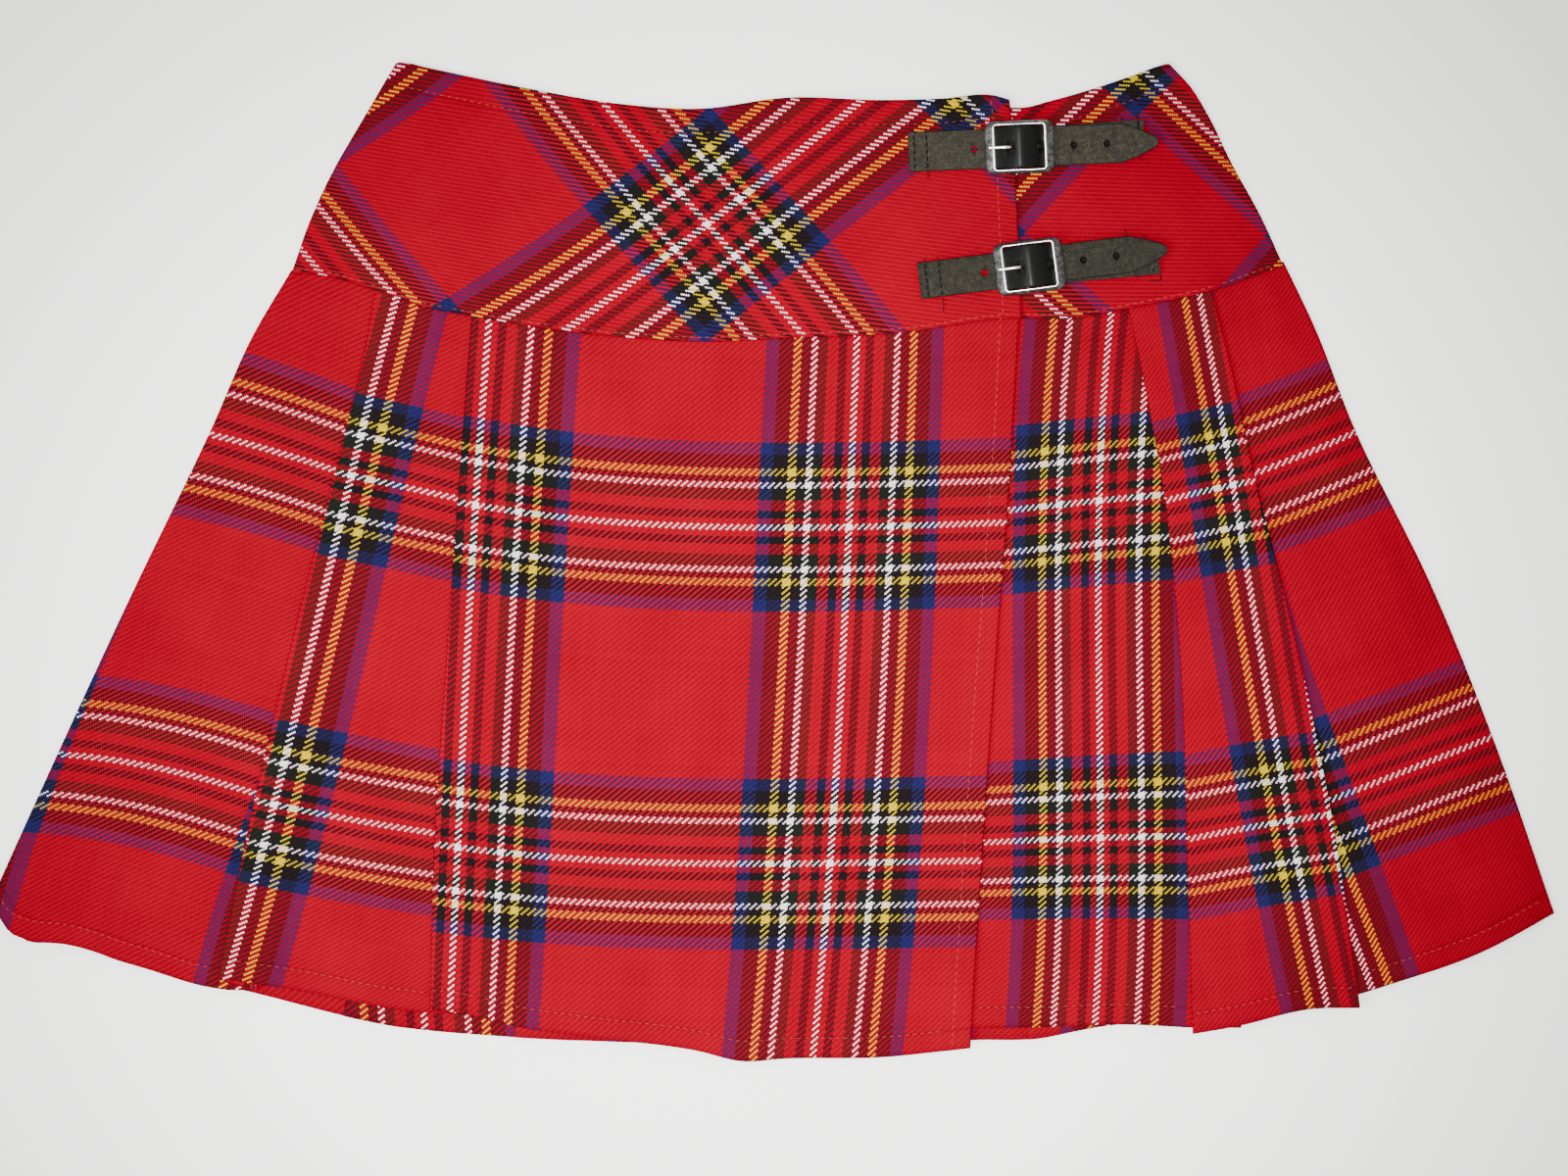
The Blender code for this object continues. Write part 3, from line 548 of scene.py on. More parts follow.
# Soft ridges in the cloth: photograph pixels at both ends, then half the width and the height. A pair
# side by side leaves a trough between them.
CREASES = (
    ((590, 374), (768, 398), 3.2, 0.8),
    ((588, 398), (766, 424), 3.6, 0.8),
    ((575, 350), (770, 352), 4.5, 0.35),
    ((742, 560), (676, 1050), 9.0, 1.5),
    ((782, 560), (724, 1060), 5.0, 1.2),
    ((600, 620), (592, 780), 9.0, 0.7),
    ((620, 950), (600, 1052), 7.0, 1.0),
    ((655, 960), (640, 1056), 5.0, 0.7),
    ((990, 350), (948, 1040), 5.5, 0.9),
    ((880, 380), (838, 1060), 8.0, 0.6),
    ((205, 520), (150, 700), 6.5, 1.1),
    ((250, 530), (196, 700), 6.0, 1.0),
    ((130, 660), (105, 720), 4.0, 0.7),
    ((80, 850), (52, 960), 6.0, 1.2),
    ((150, 870), (118, 985), 6.5, 1.2),
    ((205, 860), (182, 985), 4.0, 0.8),
    ((415, 560), (352, 790), 8.0, 0.9),
    ((330, 880), (292, 1018), 7.0, 1.1),
    ((392, 900), (372, 1025), 5.0, 0.9),
    ((1090, 440), (1086, 1040), 9.0, 0.6),
    ((1160, 560), (1163, 1040), 5.0, 0.7),
    ((1240, 900), (1247, 1046), 4.0, 1.0),
    ((1266, 900), (1276, 1044), 3.0, 0.9),
    ((1312, 540), (1420, 730), 6.0, 0.9),
    ((1390, 520), (1450, 690), 7.0, 1.2),
    ((1440, 560), (1480, 680), 4.0, 0.8),
    ((1420, 880), (1462, 985), 6.0, 1.1),
    ((1490, 850), (1528, 960), 5.5, 1.2),
    ((1545, 850), (1566, 930), 4.0, 0.8),
    ((300, 262), (560, 322), 5.0, 0.5),
    ((360, 150), (520, 240), 12.0, 0.6),
    ((650, 250), (850, 300), 10.0, 0.4),
)

# How fast a soft ridge fades towards its ends.
CREASE_FADE = 0.7


class Wire:
    """An output socket that can be used in sums and products."""

    def __init__(self, recipe, socket):
        self.recipe = recipe
        self.socket = socket

    def math(self, operation, *others):
        return self.recipe.math(operation, self, *others)

    def clamped(self):
        return self.math("MAXIMUM", 0.0).math("MINIMUM", 1.0)

    def __add__(self, other):
        return self.math("ADD", other)

    def __sub__(self, other):
        return self.math("SUBTRACT", other)

    def __mul__(self, other):
        return self.math("MULTIPLY", other)

    def __truediv__(self, other):
        return self.math("DIVIDE", other)

    def __mod__(self, other):
        return self.math("FLOORED_MODULO", other)

    def __lt__(self, other):
        return self.math("LESS_THAN", other)

    def __gt__(self, other):
        return self.math("GREATER_THAN", other)

    def __rsub__(self, other):
        return self.recipe.math("SUBTRACT", other, self)

    __radd__ = __add__
    __rmul__ = __mul__


class Recipe:
    """The nodes of one material, added one by one to its shader."""

    def __init__(self, name, **constants):
        self.material = bpy.data.materials.new(name)
        self.material.use_nodes = True
        self.tree = self.material.node_tree
        self.shader = self.tree.nodes["Principled BSDF"]
        for socket, value in constants.items():
            self.shader.inputs[socket.replace("_", " ")].default_value = value

    def feed(self, socket, value):
        if isinstance(value, Wire):
            self.tree.links.new(value.socket, socket)
        elif socket.type == "RGBA":
            socket.default_value = (*value, 1.0)
        else:
            socket.default_value = value

    def node(self, kind, settings=None, values=None, output=0):
        """A node of a kind, its settings made before its sockets are filled or linked."""
        made = self.tree.nodes.new("ShaderNode" + kind)
        for name, setting in (settings or {}).items():
            if name == "stops":
                ramp = made.color_ramp
                while len(ramp.elements) < len(setting):
                    ramp.elements.new(1.0)
                for stop, (place, colour) in zip(ramp.elements, setting):
                    stop.position = place
                    stop.color = (*colour, 1.0)
            elif name == "interpolation" and hasattr(made, "color_ramp"):
                made.color_ramp.interpolation = setting
            else:
                setattr(made, name, setting)
        for key, value in (values or {}).items():
            self.feed(made.inputs[key], value)
        return Wire(self, made.outputs[output])

    def math(self, operation, *values):
        return self.node("Math", {"operation": operation}, dict(enumerate(values)))

    def mix(self, factor, first, second, blend="MIX"):
        """Two colours mixed by a factor."""
        settings = {"data_type": "RGBA", "blend_type": blend}
        return self.node("Mix", settings, {0: factor, 6: first, 7: second}, 2)

    def place(self):
        """Where a point lies on the kilt."""
        return self.node("TexCoord", {}, {}, 3)

    def attribute(self, name):
        """A number that the mesh holds at its points."""
        return self.node("Attribute", {"attribute_name": name}, {}, 2)

    def noise(self, place, scale, detail=2.0, roughness=0.5):
        values = {"Vector": place, "Scale": scale, "Detail": detail, "Roughness": roughness}
        return self.node("TexNoise", {}, values)

    def finish(self, **surface):
        """Links what varies to the shader's sockets and gives the material."""
        for socket, value in surface.items():
            self.feed(self.shader.inputs[socket.replace("_", " ")], value)
        return self.material


def srgb(red, green, blue):
    """A colour read off a screen, from 0 to 255, as the shader's linear light."""
    linear = []
    for value in (red, green, blue):
        share = value / 255
        linear.append(share / 12.92 if share <= 0.04045 else ((share + 0.055) / 1.055) ** 2.4)
    return tuple(linear)


def chosen_colour(name, description, default):
    return FloatVectorProperty(name=name, description=description, subtype="COLOR", default=default)


def chosen_length(name, description, default):
    return FloatProperty(name=name, description=description, unit="LENGTH", default=default)


class KiltColours(bpy.types.PropertyGroup):
    """Colours of the yarns, the leather and the metal."""

    red: chosen_colour("Red yarn", "Ground of the check", (0.205, 0.0, 0.0075))
    blue: chosen_colour("Blue yarn", "Edge of each band", (0.009, 0.0085, 0.046))
    black: chosen_colour("Black yarn", "Dark lines", (0.008, 0.0055, 0.0065))
    green: chosen_colour("Green yarn", "Dark green beside the white", (0.0075, 0.009, 0.0065))
    yellow: chosen_colour("Yellow yarn", "Thin yellow lines", (0.4, 0.28, 0.0))
    white: chosen_colour("White yarn", "Thin white lines", (0.64, 0.57, 0.59))
    thread: chosen_colour("Topstitching", "Sewing thread on the cloth", (0.32, 0.045, 0.03))
    leather: chosen_colour("Leather", "Straps and tabs", (0.0125, 0.0110, 0.0070))
    metal: chosen_colour("Buckles", "Cast metal", (0.78, 0.77, 0.74))


class KiltSizes(bpy.types.PropertyGroup):
    """Sizes that a maker of the kilt would change."""

    cloth: chosen_length("Cloth", "Thickness of the wool twill", 0.0009)
    stitch: chosen_length("Stitch", "Length of a topstitch", 0.0024)
    stitch_gap: chosen_length("Stitch gap", "Gap between two topstitches", 0.0009)
    camera_height: chosen_length("Camera height", "Camera above the table", 4.0)
    holes: IntProperty(name="Holes", description="Punched holes in a strap", default=HOLE_COUNT)


def curve(points):
    """A smooth Y of X through the points, level with its end points beyond them."""
    xs, ys = np.array(points, float).T
    slopes = np.gradient(ys, xs)

    def value(x):
        x = np.clip(x, xs[0], xs[-1])
        k = np.clip(np.searchsorted(xs, x) - 1, 0, len(xs) - 2)
        width = xs[k + 1] - xs[k]
        t = (x - xs[k]) / width
        start = (1 + 2 * t) * (1 - t) ** 2 * ys[k] + t * (1 - t) ** 2 * width * slopes[k]
        end = t * t * (3 - 2 * t) * ys[k + 1] + t * t * (t - 1) * width * slopes[k + 1]
        return start + end

    return value


def ease(t):
    """Goes smoothly from 0 to 1 and stays level on both sides."""
    t = np.clip(t, 0.0, 1.0)
    return t * t * (3 - 2 * t)


def outline(name):
    """Y of a panel's upper or lower edge, from X."""
    return curve(CURVES[name])


def side_line(name):
    """X of a side edge or fold, from the share of the way down its piece."""
    return curve(list(zip(STATIONS, EDGES[name])))


def edge(name, rows):
    """X of a side edge or fold at each row of its piece."""
    return side_line(name)(np.linspace(0, 1, rows))


def taper(depths, rows):
    """How deep a fold is at each row."""
    return np.linspace(depths[0], depths[1], rows)


def from_photo(pixels):
    """Table millimetres of places in the photograph."""
    pixels = np.array(pixels, float)
    return (pixels - PHOTO_ORIGIN) * (PHOTO_SCALE, -PHOTO_SCALE)


def powers(places, middle):
    """Terms of a gentle surface over the table: flat, sloped, bent, and bent twice."""
    x, y = ((np.asarray(places, float) - middle) / FIT_SCALE).T
    bent = (x * x, x * y, y * y)
    bent_twice = (x**3, x * x * y, x * y * y, y**3)
    return np.stack([np.ones_like(x), x, y, *bent, *bent_twice], axis=1)


def fit_threads(lines):
    """The thread count as a gentle surface that runs through the charted lines."""
    places = []
    counts = []
    for count, *pixels in lines:
        places.extend(from_photo(pixels))
        counts.extend([count] * len(pixels))
    middle = np.mean(places, axis=0)
    terms = powers(places, middle)
    stiffness = np.diag(FIT_STIFFNESS)
    return middle, np.linalg.solve(terms.T @ terms + stiffness, terms.T @ np.array(counts))


FITS = {panel: tuple(fit_threads(lines) for lines in both) for panel, both in LINES.items()}


def threads_at(panel, x, y):
    """Warp and weft thread at places on a panel."""
    places = np.stack([x, y], axis=1)
    return np.stack([powers(places, middle) @ counts for middle, counts in FITS[panel]], axis=1)


def side_arc(x, inwards):
    """X and Z of the cloth where it rounds up from the table at a side edge, outermost first."""
    wall_x = x + inwards * CLOTH / 2
    center = wall_x + inwards * SIDE_RADIUS
    arc = [(wall_x, 0.0)]
    for angle in np.radians(np.linspace(0.0, 90.0, SIDE_STEPS)):
        across = center - inwards * SIDE_RADIUS * math.cos(angle)
        arc.append((across, CLOTH / 2 + SIDE_RADIUS * math.sin(angle)))
    return arc


def crease(x, y):
    """Height that the soft creases add at places on the front."""
    total = np.zeros_like(x)
    for first, last, wide, high in CREASES:
        (x1, y1), (x2, y2) = from_photo([first, last])
        along = np.array((x2 - x1, y2 - y1))
        length = np.hypot(*along)
        dx, dy = along / length
        t = ((x - x1) * dx + (y - y1) * dy) / length
        off = (x - x1) * dy - (y - y1) * dx
        total += high * np.exp(-((off / wide) ** 2)) * np.sin(np.pi * np.clip(t, 0, 1)) ** CREASE_FADE
    return total


class Cloth:
    """The middle surface of one piece, laid down column by column from its left edge to its right."""

    def __init__(self, panel, top, bottom, rows, lift=0.0, drop=0.0):
        self.top = top
        self.bottom = bottom
        self.rows = rows
        self.fractions = np.linspace(0, 1, rows)
        self.lift = lift
        self.drop = drop
        self.panel = panel
        self.mirror = None
        self.columns = []
        self.threads = []
        self.lengths = []

    def column(self, x, z, bottom=None):
        """One line of cloth from the top edge to the bottom edge."""
        x = np.broadcast_to(np.asarray(x, float), (self.rows,))
        z = np.broadcast_to(np.asarray(z, float), (self.rows,))
        high = self.top(x[0]) + self.drop
        low = (bottom or self.bottom)(x[-1]) + self.lift
        y = high + (low - high) * self.fractions
        self.columns.append(np.stack([x, y, z], axis=1))
        self.lengths.append(np.stack([high - y, y - low], axis=1))
        if self.panel:
            woven_x = x if self.mirror is None else 2 * self.mirror - x
            self.threads.append(threads_at(self.panel, woven_x, y))

    def last(self):
        return self.columns[-1][:, 0], self.columns[-1][:, 2]

    def run(self, x, z, bottom=None):
        """Goes on to x and eases to the height z, and over to another lower edge if one is given."""
        from_x, from_z = self.last()
        count = max(3, math.ceil(np.abs(x - from_x).mean() / COLUMN_STEP))
        before = self.bottom
        after = bottom or before
        for step in range(1, count + 1):
            t = step / count

            def mixed(at, t=t):
                return (1 - t) * before(at) + t * after(at)

            self.column(from_x + (x - from_x) * t, from_z + (z - from_z) * ease(t), mixed)
        self.bottom = after

    def turn(self, side, rise, mirror_to=None):
        """Folds the cloth back with a half circle that bulges to the side, up or down by the rise.

        Past the bulge the threads count on as seen from the fold, or stop doing so."""
        from_x, from_z = self.last()
        for step in range(1, TURN_STEPS + 1):
            angle = math.pi * step / TURN_STEPS
            out = side * abs(rise) / 2 * math.sin(angle)
            if 2 * step > TURN_STEPS:
                self.mirror = mirror_to
            self.column(from_x + out, from_z + rise / 2 * (1 - math.cos(angle)))

    def start_side(self, x, inner_x, z):
        """A left side edge at x, from the table up and in to the level z at inner_x."""
        for across, height in side_arc(x, 1):
            self.column(across, height)
        self.run(inner_x, z)

    def end_side(self, x):
        """A right side edge at x, from the height so far down to the table."""
        arc = side_arc(x, -1)
        self.run(*arc.pop())
        for across, height in reversed(arc):
            self.column(across, height)

    def pleat(self, far, near, rise, panel, shows_far=False, bottom=None):
        """Runs right to far, turns back to near and turns on again; each turn changes the level by rise.

        The cloth between belongs to the panel on top, whose fold shows at near, or at far."""
        level = self.last()[1]
        self.run(far - REACH, level)
        if shows_far:
            self.turn(1, rise, far - CLOTH / 2)
        else:
            self.turn(1, rise)
            self.panel = panel
            self.mirror = near + CLOTH / 2
        self.run(near + REACH, level + rise, bottom)
        if shows_far:
            self.panel = panel
            self.mirror = None
        self.turn(-1, rise)

    def solid(self, name, node, material, lap=None):
        """The shell round the middle surface, with its threads as its UV map."""
        across = len(self.columns)
        points = np.array(self.columns)
        lengths = np.array(self.lengths)
        fade_in = np.clip(points[..., 2] / YOKE_LEVEL, 0, 1)
        if self.panel:
            threads = np.array(self.threads)
            points[..., 2] += crease(points[..., 0], points[..., 1]) * fade_in
        else:
            threads = developed_threads(points)
        if lap == "over":
            points[..., 2] += LAP_RAISE * ease(1 - lengths[..., 1] / LAP_DEPTH)
        if lap == "under":
            points[..., 2] -= LAP_SINK * ease(1 - lengths[..., 0] / LAP_DEPTH) * fade_in
        work = bmesh.new()
        bmesh.ops.create_grid(work, x_segments=across - 1, y_segments=self.rows - 1, size=0.5)
        piece = new_piece(name, work)
        mesh = piece.data
        flat_place = np.zeros(len(mesh.vertices) * 3)
        mesh.vertices.foreach_get("co", flat_place)
        flat_place = flat_place.reshape(-1, 3) + 0.5
        column = np.rint(flat_place[:, 0] * (across - 1)).astype(int)
        row = np.rint((1 - flat_place[:, 1]) * (self.rows - 1)).astype(int)
        mesh.vertices.foreach_set("co", ((points[column, row] - MIDDLE) * MM).ravel())
        corners = np.zeros(len(mesh.loops), int)
        mesh.loops.foreach_get("vertex_index", corners)
        layer = mesh.uv_layers.new(name="Threads")
        layer.data.foreach_set("uv", threads[column, row][corners].ravel())
        for index, side in enumerate(("from_top", "from_bottom")):
            attribute = mesh.attributes.new(side, "FLOAT", "POINT")
            attribute.data.foreach_set("value", lengths[column, row, index].astype(np.float32))
        wall = piece.modifiers.new("Wall", "SOLIDIFY")
        wall.thickness = bpy.context.scene.kilt_sizes.cloth
        wall.offset = 0.0
        wall.use_even_offset = True
        finish_piece(piece, material, node)


def developed_threads(points):
    """Warp and weft threads of a back piece, counted along the cloth itself."""
    steps = np.linalg.norm(np.diff(points, axis=0), axis=2)
    along = np.concatenate([np.zeros((1, points.shape[1])), np.cumsum(steps, axis=0)])
    middle = along[len(along) // 2]
    warp = (along - middle) / BACK_WARP_PITCH + BACK_MIDDLE_THREAD
    weft = BACK_HEM_THREAD - (points[..., 1] - points[:, -1:, 1]) / BACK_WEFT_PITCH
    return np.stack([warp, weft], axis=2)


def yoke_rise(fraction):
    """The yoke lies low at the waist and climbs to the pleats at the seam."""
    return YOKE_LEVEL + (SKIRT_LEVEL - YOKE_LEVEL) * fraction**SEAM_CLIMB


def swell(x, fraction):
    """How far the pleats under the seam lift the yoke at x."""
    lift = 0.0
    for name in ("fold_1", "fold_2"):
        start = EDGES[name][0]
        end = start + PLEAT_DEPTHS[name][0]
        lift += ease((x - start + FALL) / FALL) * ease((end + FALL - x) / FALL)
    box = ease((x - EDGES["fold_3"][0] + FALL) / FALL)
    lift += box * ease((EDGES["fold_4"][0] + FALL - x) / FALL)
    return 2 * LAYER * lift * fraction**PLEAT_CLIMB


def swelling_run(cloth, start, end, level, fraction):
    """Lays a yoke from start to end, lifted by the pleats under its seam."""
    for step in range(1, YOKE_COLUMNS + 1):
        x = start + (end - start) * step / YOKE_COLUMNS
        cloth.column(x, level + swell(x[-1], fraction))


def turned_edge(cloth, edge_x, level):
    """The apron's edge: the cloth climbs over its own turned allowance, folds under and runs back."""
    cloth.run(edge_x - REACH - EDGE_TURN - EDGE_RISE, level)
    cloth.run(edge_x - REACH - EDGE_TURN, level + LAYER)
    cloth.run(edge_x - REACH, level + LAYER)
    cloth.turn(1, -LAYER, edge_x - CLOTH / 2)
    cloth.run(edge_x - EDGE_TURN, level)


def thread_ramp(recipe, count, sett, colours):
    """The colour of a thread from its place in the check, which mirrors at each white line's middle."""
    stops = []
    done = 0
    for name, threads in sett:
        stops.append((done / HALF_SETT, tuple(getattr(colours, name))))
        done += threads
    place = (count + 0.5).math("PINGPONG", HALF_SETT) / HALF_SETT
    return recipe.node("ValToRGB", {"stops": stops, "interpolation": "CONSTANT"}, {0: place})


def tartan_material(name, side, row):
    """Two-by-two wool twill in the red check, drawn in along a row of stitches beside its edge, with painted
    shade between its threads and along that row.
    """
    colours = bpy.context.scene.kilt_colours
    cloth = Recipe(name, Roughness=0.9, Specular_IOR_Level=0.0)
    place = cloth.node("UVMap", {"uv_map": "Threads"})
    warp, weft = (cloth.node("SeparateXYZ", {}, {0: place}, axis) for axis in (0, 1))
    warp_thread = warp.math("FLOOR")
    weft_thread = weft.math("FLOOR")

    # Which thread lies on top, and how high it stands along its float and across its roundness.
    warp_up = (warp_thread + weft_thread) % TWILL < TWILL / 2
    warp_along = ((weft + warp_thread) % TWILL) * (2 * math.pi / TWILL)
    weft_along = ((warp + weft_thread) % TWILL - TWILL / 2) * (2 * math.pi / TWILL)
    warp_rise = warp_along.math("SINE")
    weft_rise = weft_along.math("SINE")
    rise = warp_up * warp_rise + (1 - warp_up) * weft_rise
    warp_round = (warp % 1.0 * math.pi).math("SINE") * warp_rise
    weft_round = (weft % 1.0 * math.pi).math("SINE") * weft_rise
    height = (warp_up * warp_round + (1 - warp_up) * weft_round).math("MAXIMUM", 0.0)

    # The colour of the thread on top, with what shows of the one below.
    warp_colour = thread_ramp(cloth, warp_thread, WARP_SETT, colours)
    weft_colour = thread_ramp(cloth, weft_thread, WEFT_SETT, colours)
    top = cloth.mix(warp_up, weft_colour, warp_colour)
    under = cloth.mix(warp_up, warp_colour, weft_colour)
    pale, on_pale = (cloth.node("SeparateColor", {}, {0: yarn}, 1) > PALE for yarn in (top, under))
    covered = pale * ((THIN_YARN - rise) * THIN_FADE).clamped()
    yarn = cloth.mix(covered + (1 - pale) * (1 - on_pale) * BLEED, top, under)

    # How light it is painted there: painted shade between the threads, on the weft floats and along the
    # stitched groove, a painted highlight on the warp floats, a mottle that is partly dye and partly painted
    # sheen, and each thread's own shade and fuzz.
    warp_shade, weft_shade = (
        cloth.node("TexWhiteNoise", {"noise_dimensions": "1D"}, {"W": thread + offset})
        for thread, offset in ((warp_thread, 0.3), (weft_thread, 0.7))
    )
    own_shade = warp_up * warp_shade + (1 - warp_up) * weft_shade
    fuzz = cloth.noise(place, 0.9, 3.0, 0.6)
    # A mottle in broad patches: partly uneven dye, partly painted sheen of the nap.
    dye_and_sheen = cloth.noise(cloth.place(), 28.0, 3.0, 0.55)
    from_row = (cloth.attribute(side) - row) / GROOVE_WIDTH
    groove = (0.0 - from_row * from_row).math("EXPONENT")
    fullness = height.math("POWER", 0.6).math("MAXIMUM", 0.8 * pale * rise)
    floats = LIGHT["low"] + LIGHT["round"] * fullness + LIGHT["warp"] * warp_up
    wool = LIGHT["thread"] * own_shade + LIGHT["fuzz"] * (fuzz - 0.5) + LIGHT["dye_and_sheen"] * (dye_and_sheen - 0.5)
    shade = floats + wool - LIGHT["groove"] * groove
    grey = cloth.node("CombineColor", {}, {0: shade, 1: shade, 2: shade})
    relief = height + 0.35 * fuzz - 1.4 * groove
    bump = cloth.node("Bump", {}, {"Strength": 0.5, "Distance": 0.0003, "Height": relief})
    return cloth.finish(Base_Color=cloth.mix(1.0, yarn, grey, "MULTIPLY"), Normal=bump)


def leather_material(name, light):
    """Black grained leather, glossy where it bends over the bar, dull and dark on its cut edges and painted
    dark as shade in its holes.
    Its colour times light is painted light: lighter on one strap, darker on the other.
    """
    colours = bpy.context.scene.kilt_colours
    hide = Recipe(name, Specular_IOR_Level=0.1, Coat_Roughness=0.34)
    place = hide.place()
    grain = hide.node("TexVoronoi", {"feature": "F1"}, {"Vector": place, "Scale": 1300.0})
    speckle = hide.noise(place, 2000.0, 2.0, 0.6)
    cloud = hide.noise(place, 420.0, 3.0, 0.6)
    polish = hide.attribute("polish")
    rim = hide.attribute("rim")
    # The grain's tones times light: painted light, lighter on the upper strap and darker on the lower.
    tones = [(stop, tuple(value * share * light for value in colours.leather)) for stop, share in GRAIN_TONES]
    # The rim is darkened to near black: the cut edges' own dark, and painted shade in the holes.
    black = tuple(value * 0.1 for value in tones[0][1])
    painted_light_tone = hide.node("ValToRGB", {"stops": tones}, {0: 0.7 * speckle + 0.3 * cloud})
    shown = hide.mix(polish, hide.mix(0.9 * rim, painted_light_tone, black), POLISH_COLOUR)
    dull = 0.6 + 0.2 * speckle
    relief = (grain * 0.5 + speckle * 0.6) * (1 - 0.85 * polish)
    bump = hide.node("Bump", {}, {"Strength": 0.45, "Distance": 0.0002, "Height": relief})
    return hide.finish(Base_Color=shown, Roughness=dull, Coat_Weight=0.14 * polish, Normal=bump)


def metal_material(name):
    """Cast pewter: bright on the inner crest as a painted highlight, dull and painted dark as shade on the
    sloping rim, lighter in random patches and pits.
    """
    metal = tuple(bpy.context.scene.kilt_colours.metal)
    cast = Recipe(name, Metallic=1.0)
    place = cast.place()
    crest = cast.attribute("crest")
    patch = cast.noise(place, 420.0, 3.0, 0.6)
    pit = cast.noise(place, 1900.0, 2.0, 0.5)
    # The bright metal fades in on the crest as a painted highlight and in random patches and pits; elsewhere
    # the metal is painted dark as shade.
    fade_in = (0.5 * patch + 0.4 * pit - 0.41 + crest).clamped()
    painted_light_tone = cast.mix(fade_in, tuple(value * 0.06 for value in metal), metal)
    bump = cast.node("Bump", {}, {"Strength": 0.22, "Distance": 0.0001, "Height": pit})
    return cast.finish(Base_Color=painted_light_tone, Roughness=0.42 - 0.22 * crest + 0.1 * patch, Normal=bump)


def thread_material(name, colour):
    """Twisted sewing thread."""
    thread = Recipe(name, Roughness=0.75, Specular_IOR_Level=0.1)
    lint = thread.noise(thread.place(), 1800.0, 2.0, 0.5)
    return thread.finish(Base_Color=thread.mix(lint, tuple(value * 0.7 for value in colour), colour))


def table_material(name):
    """A plain pale table top."""
    top = Recipe(name, Roughness=0.7)
    cloud = top.noise(top.place(), 1.5, 2.0, 0.5)
    return top.finish(Base_Color=top.mix(cloud, *(srgb(*painted_light_tone) for painted_light_tone in TABLE_TONES)))


def under_yoke_top(x, y):
    """Height of the under yoke's upper face at a place on it, found by walking down its column there."""
    waist = outline("waist_under")
    seam = outline("seam")
    start = side_line("yoke_apron")
    end = side_line("yoke_right")

    def span(fraction):
        left = start(fraction) - UNDER_APRON
        return left, end(fraction) - SIDE_SLOPE - left

    fraction = 0.5
    for _ in range(6):
        left, wide = span(fraction)
        share = (x - left) / wide
        at_waist, at_seam = (left + share * wide for left, wide in (span(0), span(1)))
        fraction = (waist(at_waist) - y) / (waist(at_waist) - seam(at_seam))
    return yoke_rise(fraction) + swell(at_seam, fraction) + CLOTH / 2


def strap_matrix(place):
    """Lays places on a strap, in millimetres, on the yoke's highest points, in the kilt's metres."""
    turn = math.radians(place["turn"])
    rows = []
    for u in np.linspace(STRAP_LEFT, CHAPE_END, 9):
        for v in (-CHAPE_WIDTH / 2, 0.0, CHAPE_WIDTH / 2):
            x = place["x"] + u * math.cos(turn) - v * math.sin(turn)
            y = place["y"] + u * math.sin(turn) + v * math.cos(turn)
            rows.append((1.0, u, v, under_yoke_top(x, y)))
    table = np.array(rows)
    fit = np.linalg.lstsq(table[:, :3], table[:, 3], rcond=None)[0]
    clear = (table[:, 3] - table[:, :3] @ fit).max()
    origin = (np.array((place["x"], place["y"], fit[0] + clear)) - MIDDLE) * MM
    spin = Euler((math.atan(fit[2]), -math.atan(fit[1]), turn)).to_matrix().to_4x4()
    return Matrix.Translation(origin) @ spin @ Matrix.Scale(MM, 4)


def strap_height(u):
    """Middle of the strap above the under yoke: on the over yoke, over the bar and on the chape."""
    on_yoke = LAYER + GAP + STRAP_THICK / 2
    on_edge = 2 * LAYER + GAP + STRAP_THICK / 2
    on_chape = GAP + CHAPE_THICK + GAP + STRAP_THICK / 2
    over_bar = BAR_HEIGHT + LOOP_RADIUS + GAP + STRAP_THICK / 2
    rim = WINDOW_LENGTH / 2
    if u < -rim:
        return on_yoke + (on_edge - on_yoke) * ease((u + rim + EDGE_CLIMB) / EDGE_CLIMB)
    side = on_edge if u < 0 else on_chape
    return side + (over_bar - side) * ease((rim - abs(u)) / rim)


def strap_width(u, full):
    """Full width up to the shoulder, spread a little inside the buckle, then in to a rounded tip."""
    along = (u - STRAP_SHOULDER) / (STRAP_TIP - STRAP_SHOULDER)
    if along <= 0:
        return full + (WINDOW_STRAP - full) * ease((POLISHED - abs(u)) / WINDOW_FADE)
    width = STRAP_TIP_WIDTH + (full - STRAP_TIP_WIDTH) * (1 - along**TIP_BULGE)
    past = max(0.0, u - STRAP_TIP + TIP_ROUNDING) / TIP_ROUNDING
    return width * math.sqrt(1.0 - TIP_POINT * past * past)


def new_piece(name, work, lie=None):
    """An object of the mesh that was worked on, laid in its place if one is given."""
    mesh = bpy.data.meshes.new(name)
    work.to_mesh(mesh)
    work.free()
    if lie is not None:
        mesh.transform(lie)
    piece = bpy.data.objects.new(name, mesh)
    bpy.context.scene.collection.objects.link(piece)
    return piece


def finish_piece(piece, material, node=None):
    """Gives a piece its material and ties it to the kilt, in the place of its solid if it has one."""
    piece.data.materials.clear()
    piece.data.materials.append(material)
    piece.data.shade_smooth()
    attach(piece, "root")
    if node:
        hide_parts(node)


def applied(piece):
    """The piece with its modifiers made part of its mesh."""
    depsgraph = bpy.context.evaluated_depsgraph_get()
    shaped = bpy.data.meshes.new_from_object(piece.evaluated_get(depsgraph))
    piece.modifiers.clear()
    piece.data = shaped
    return piece


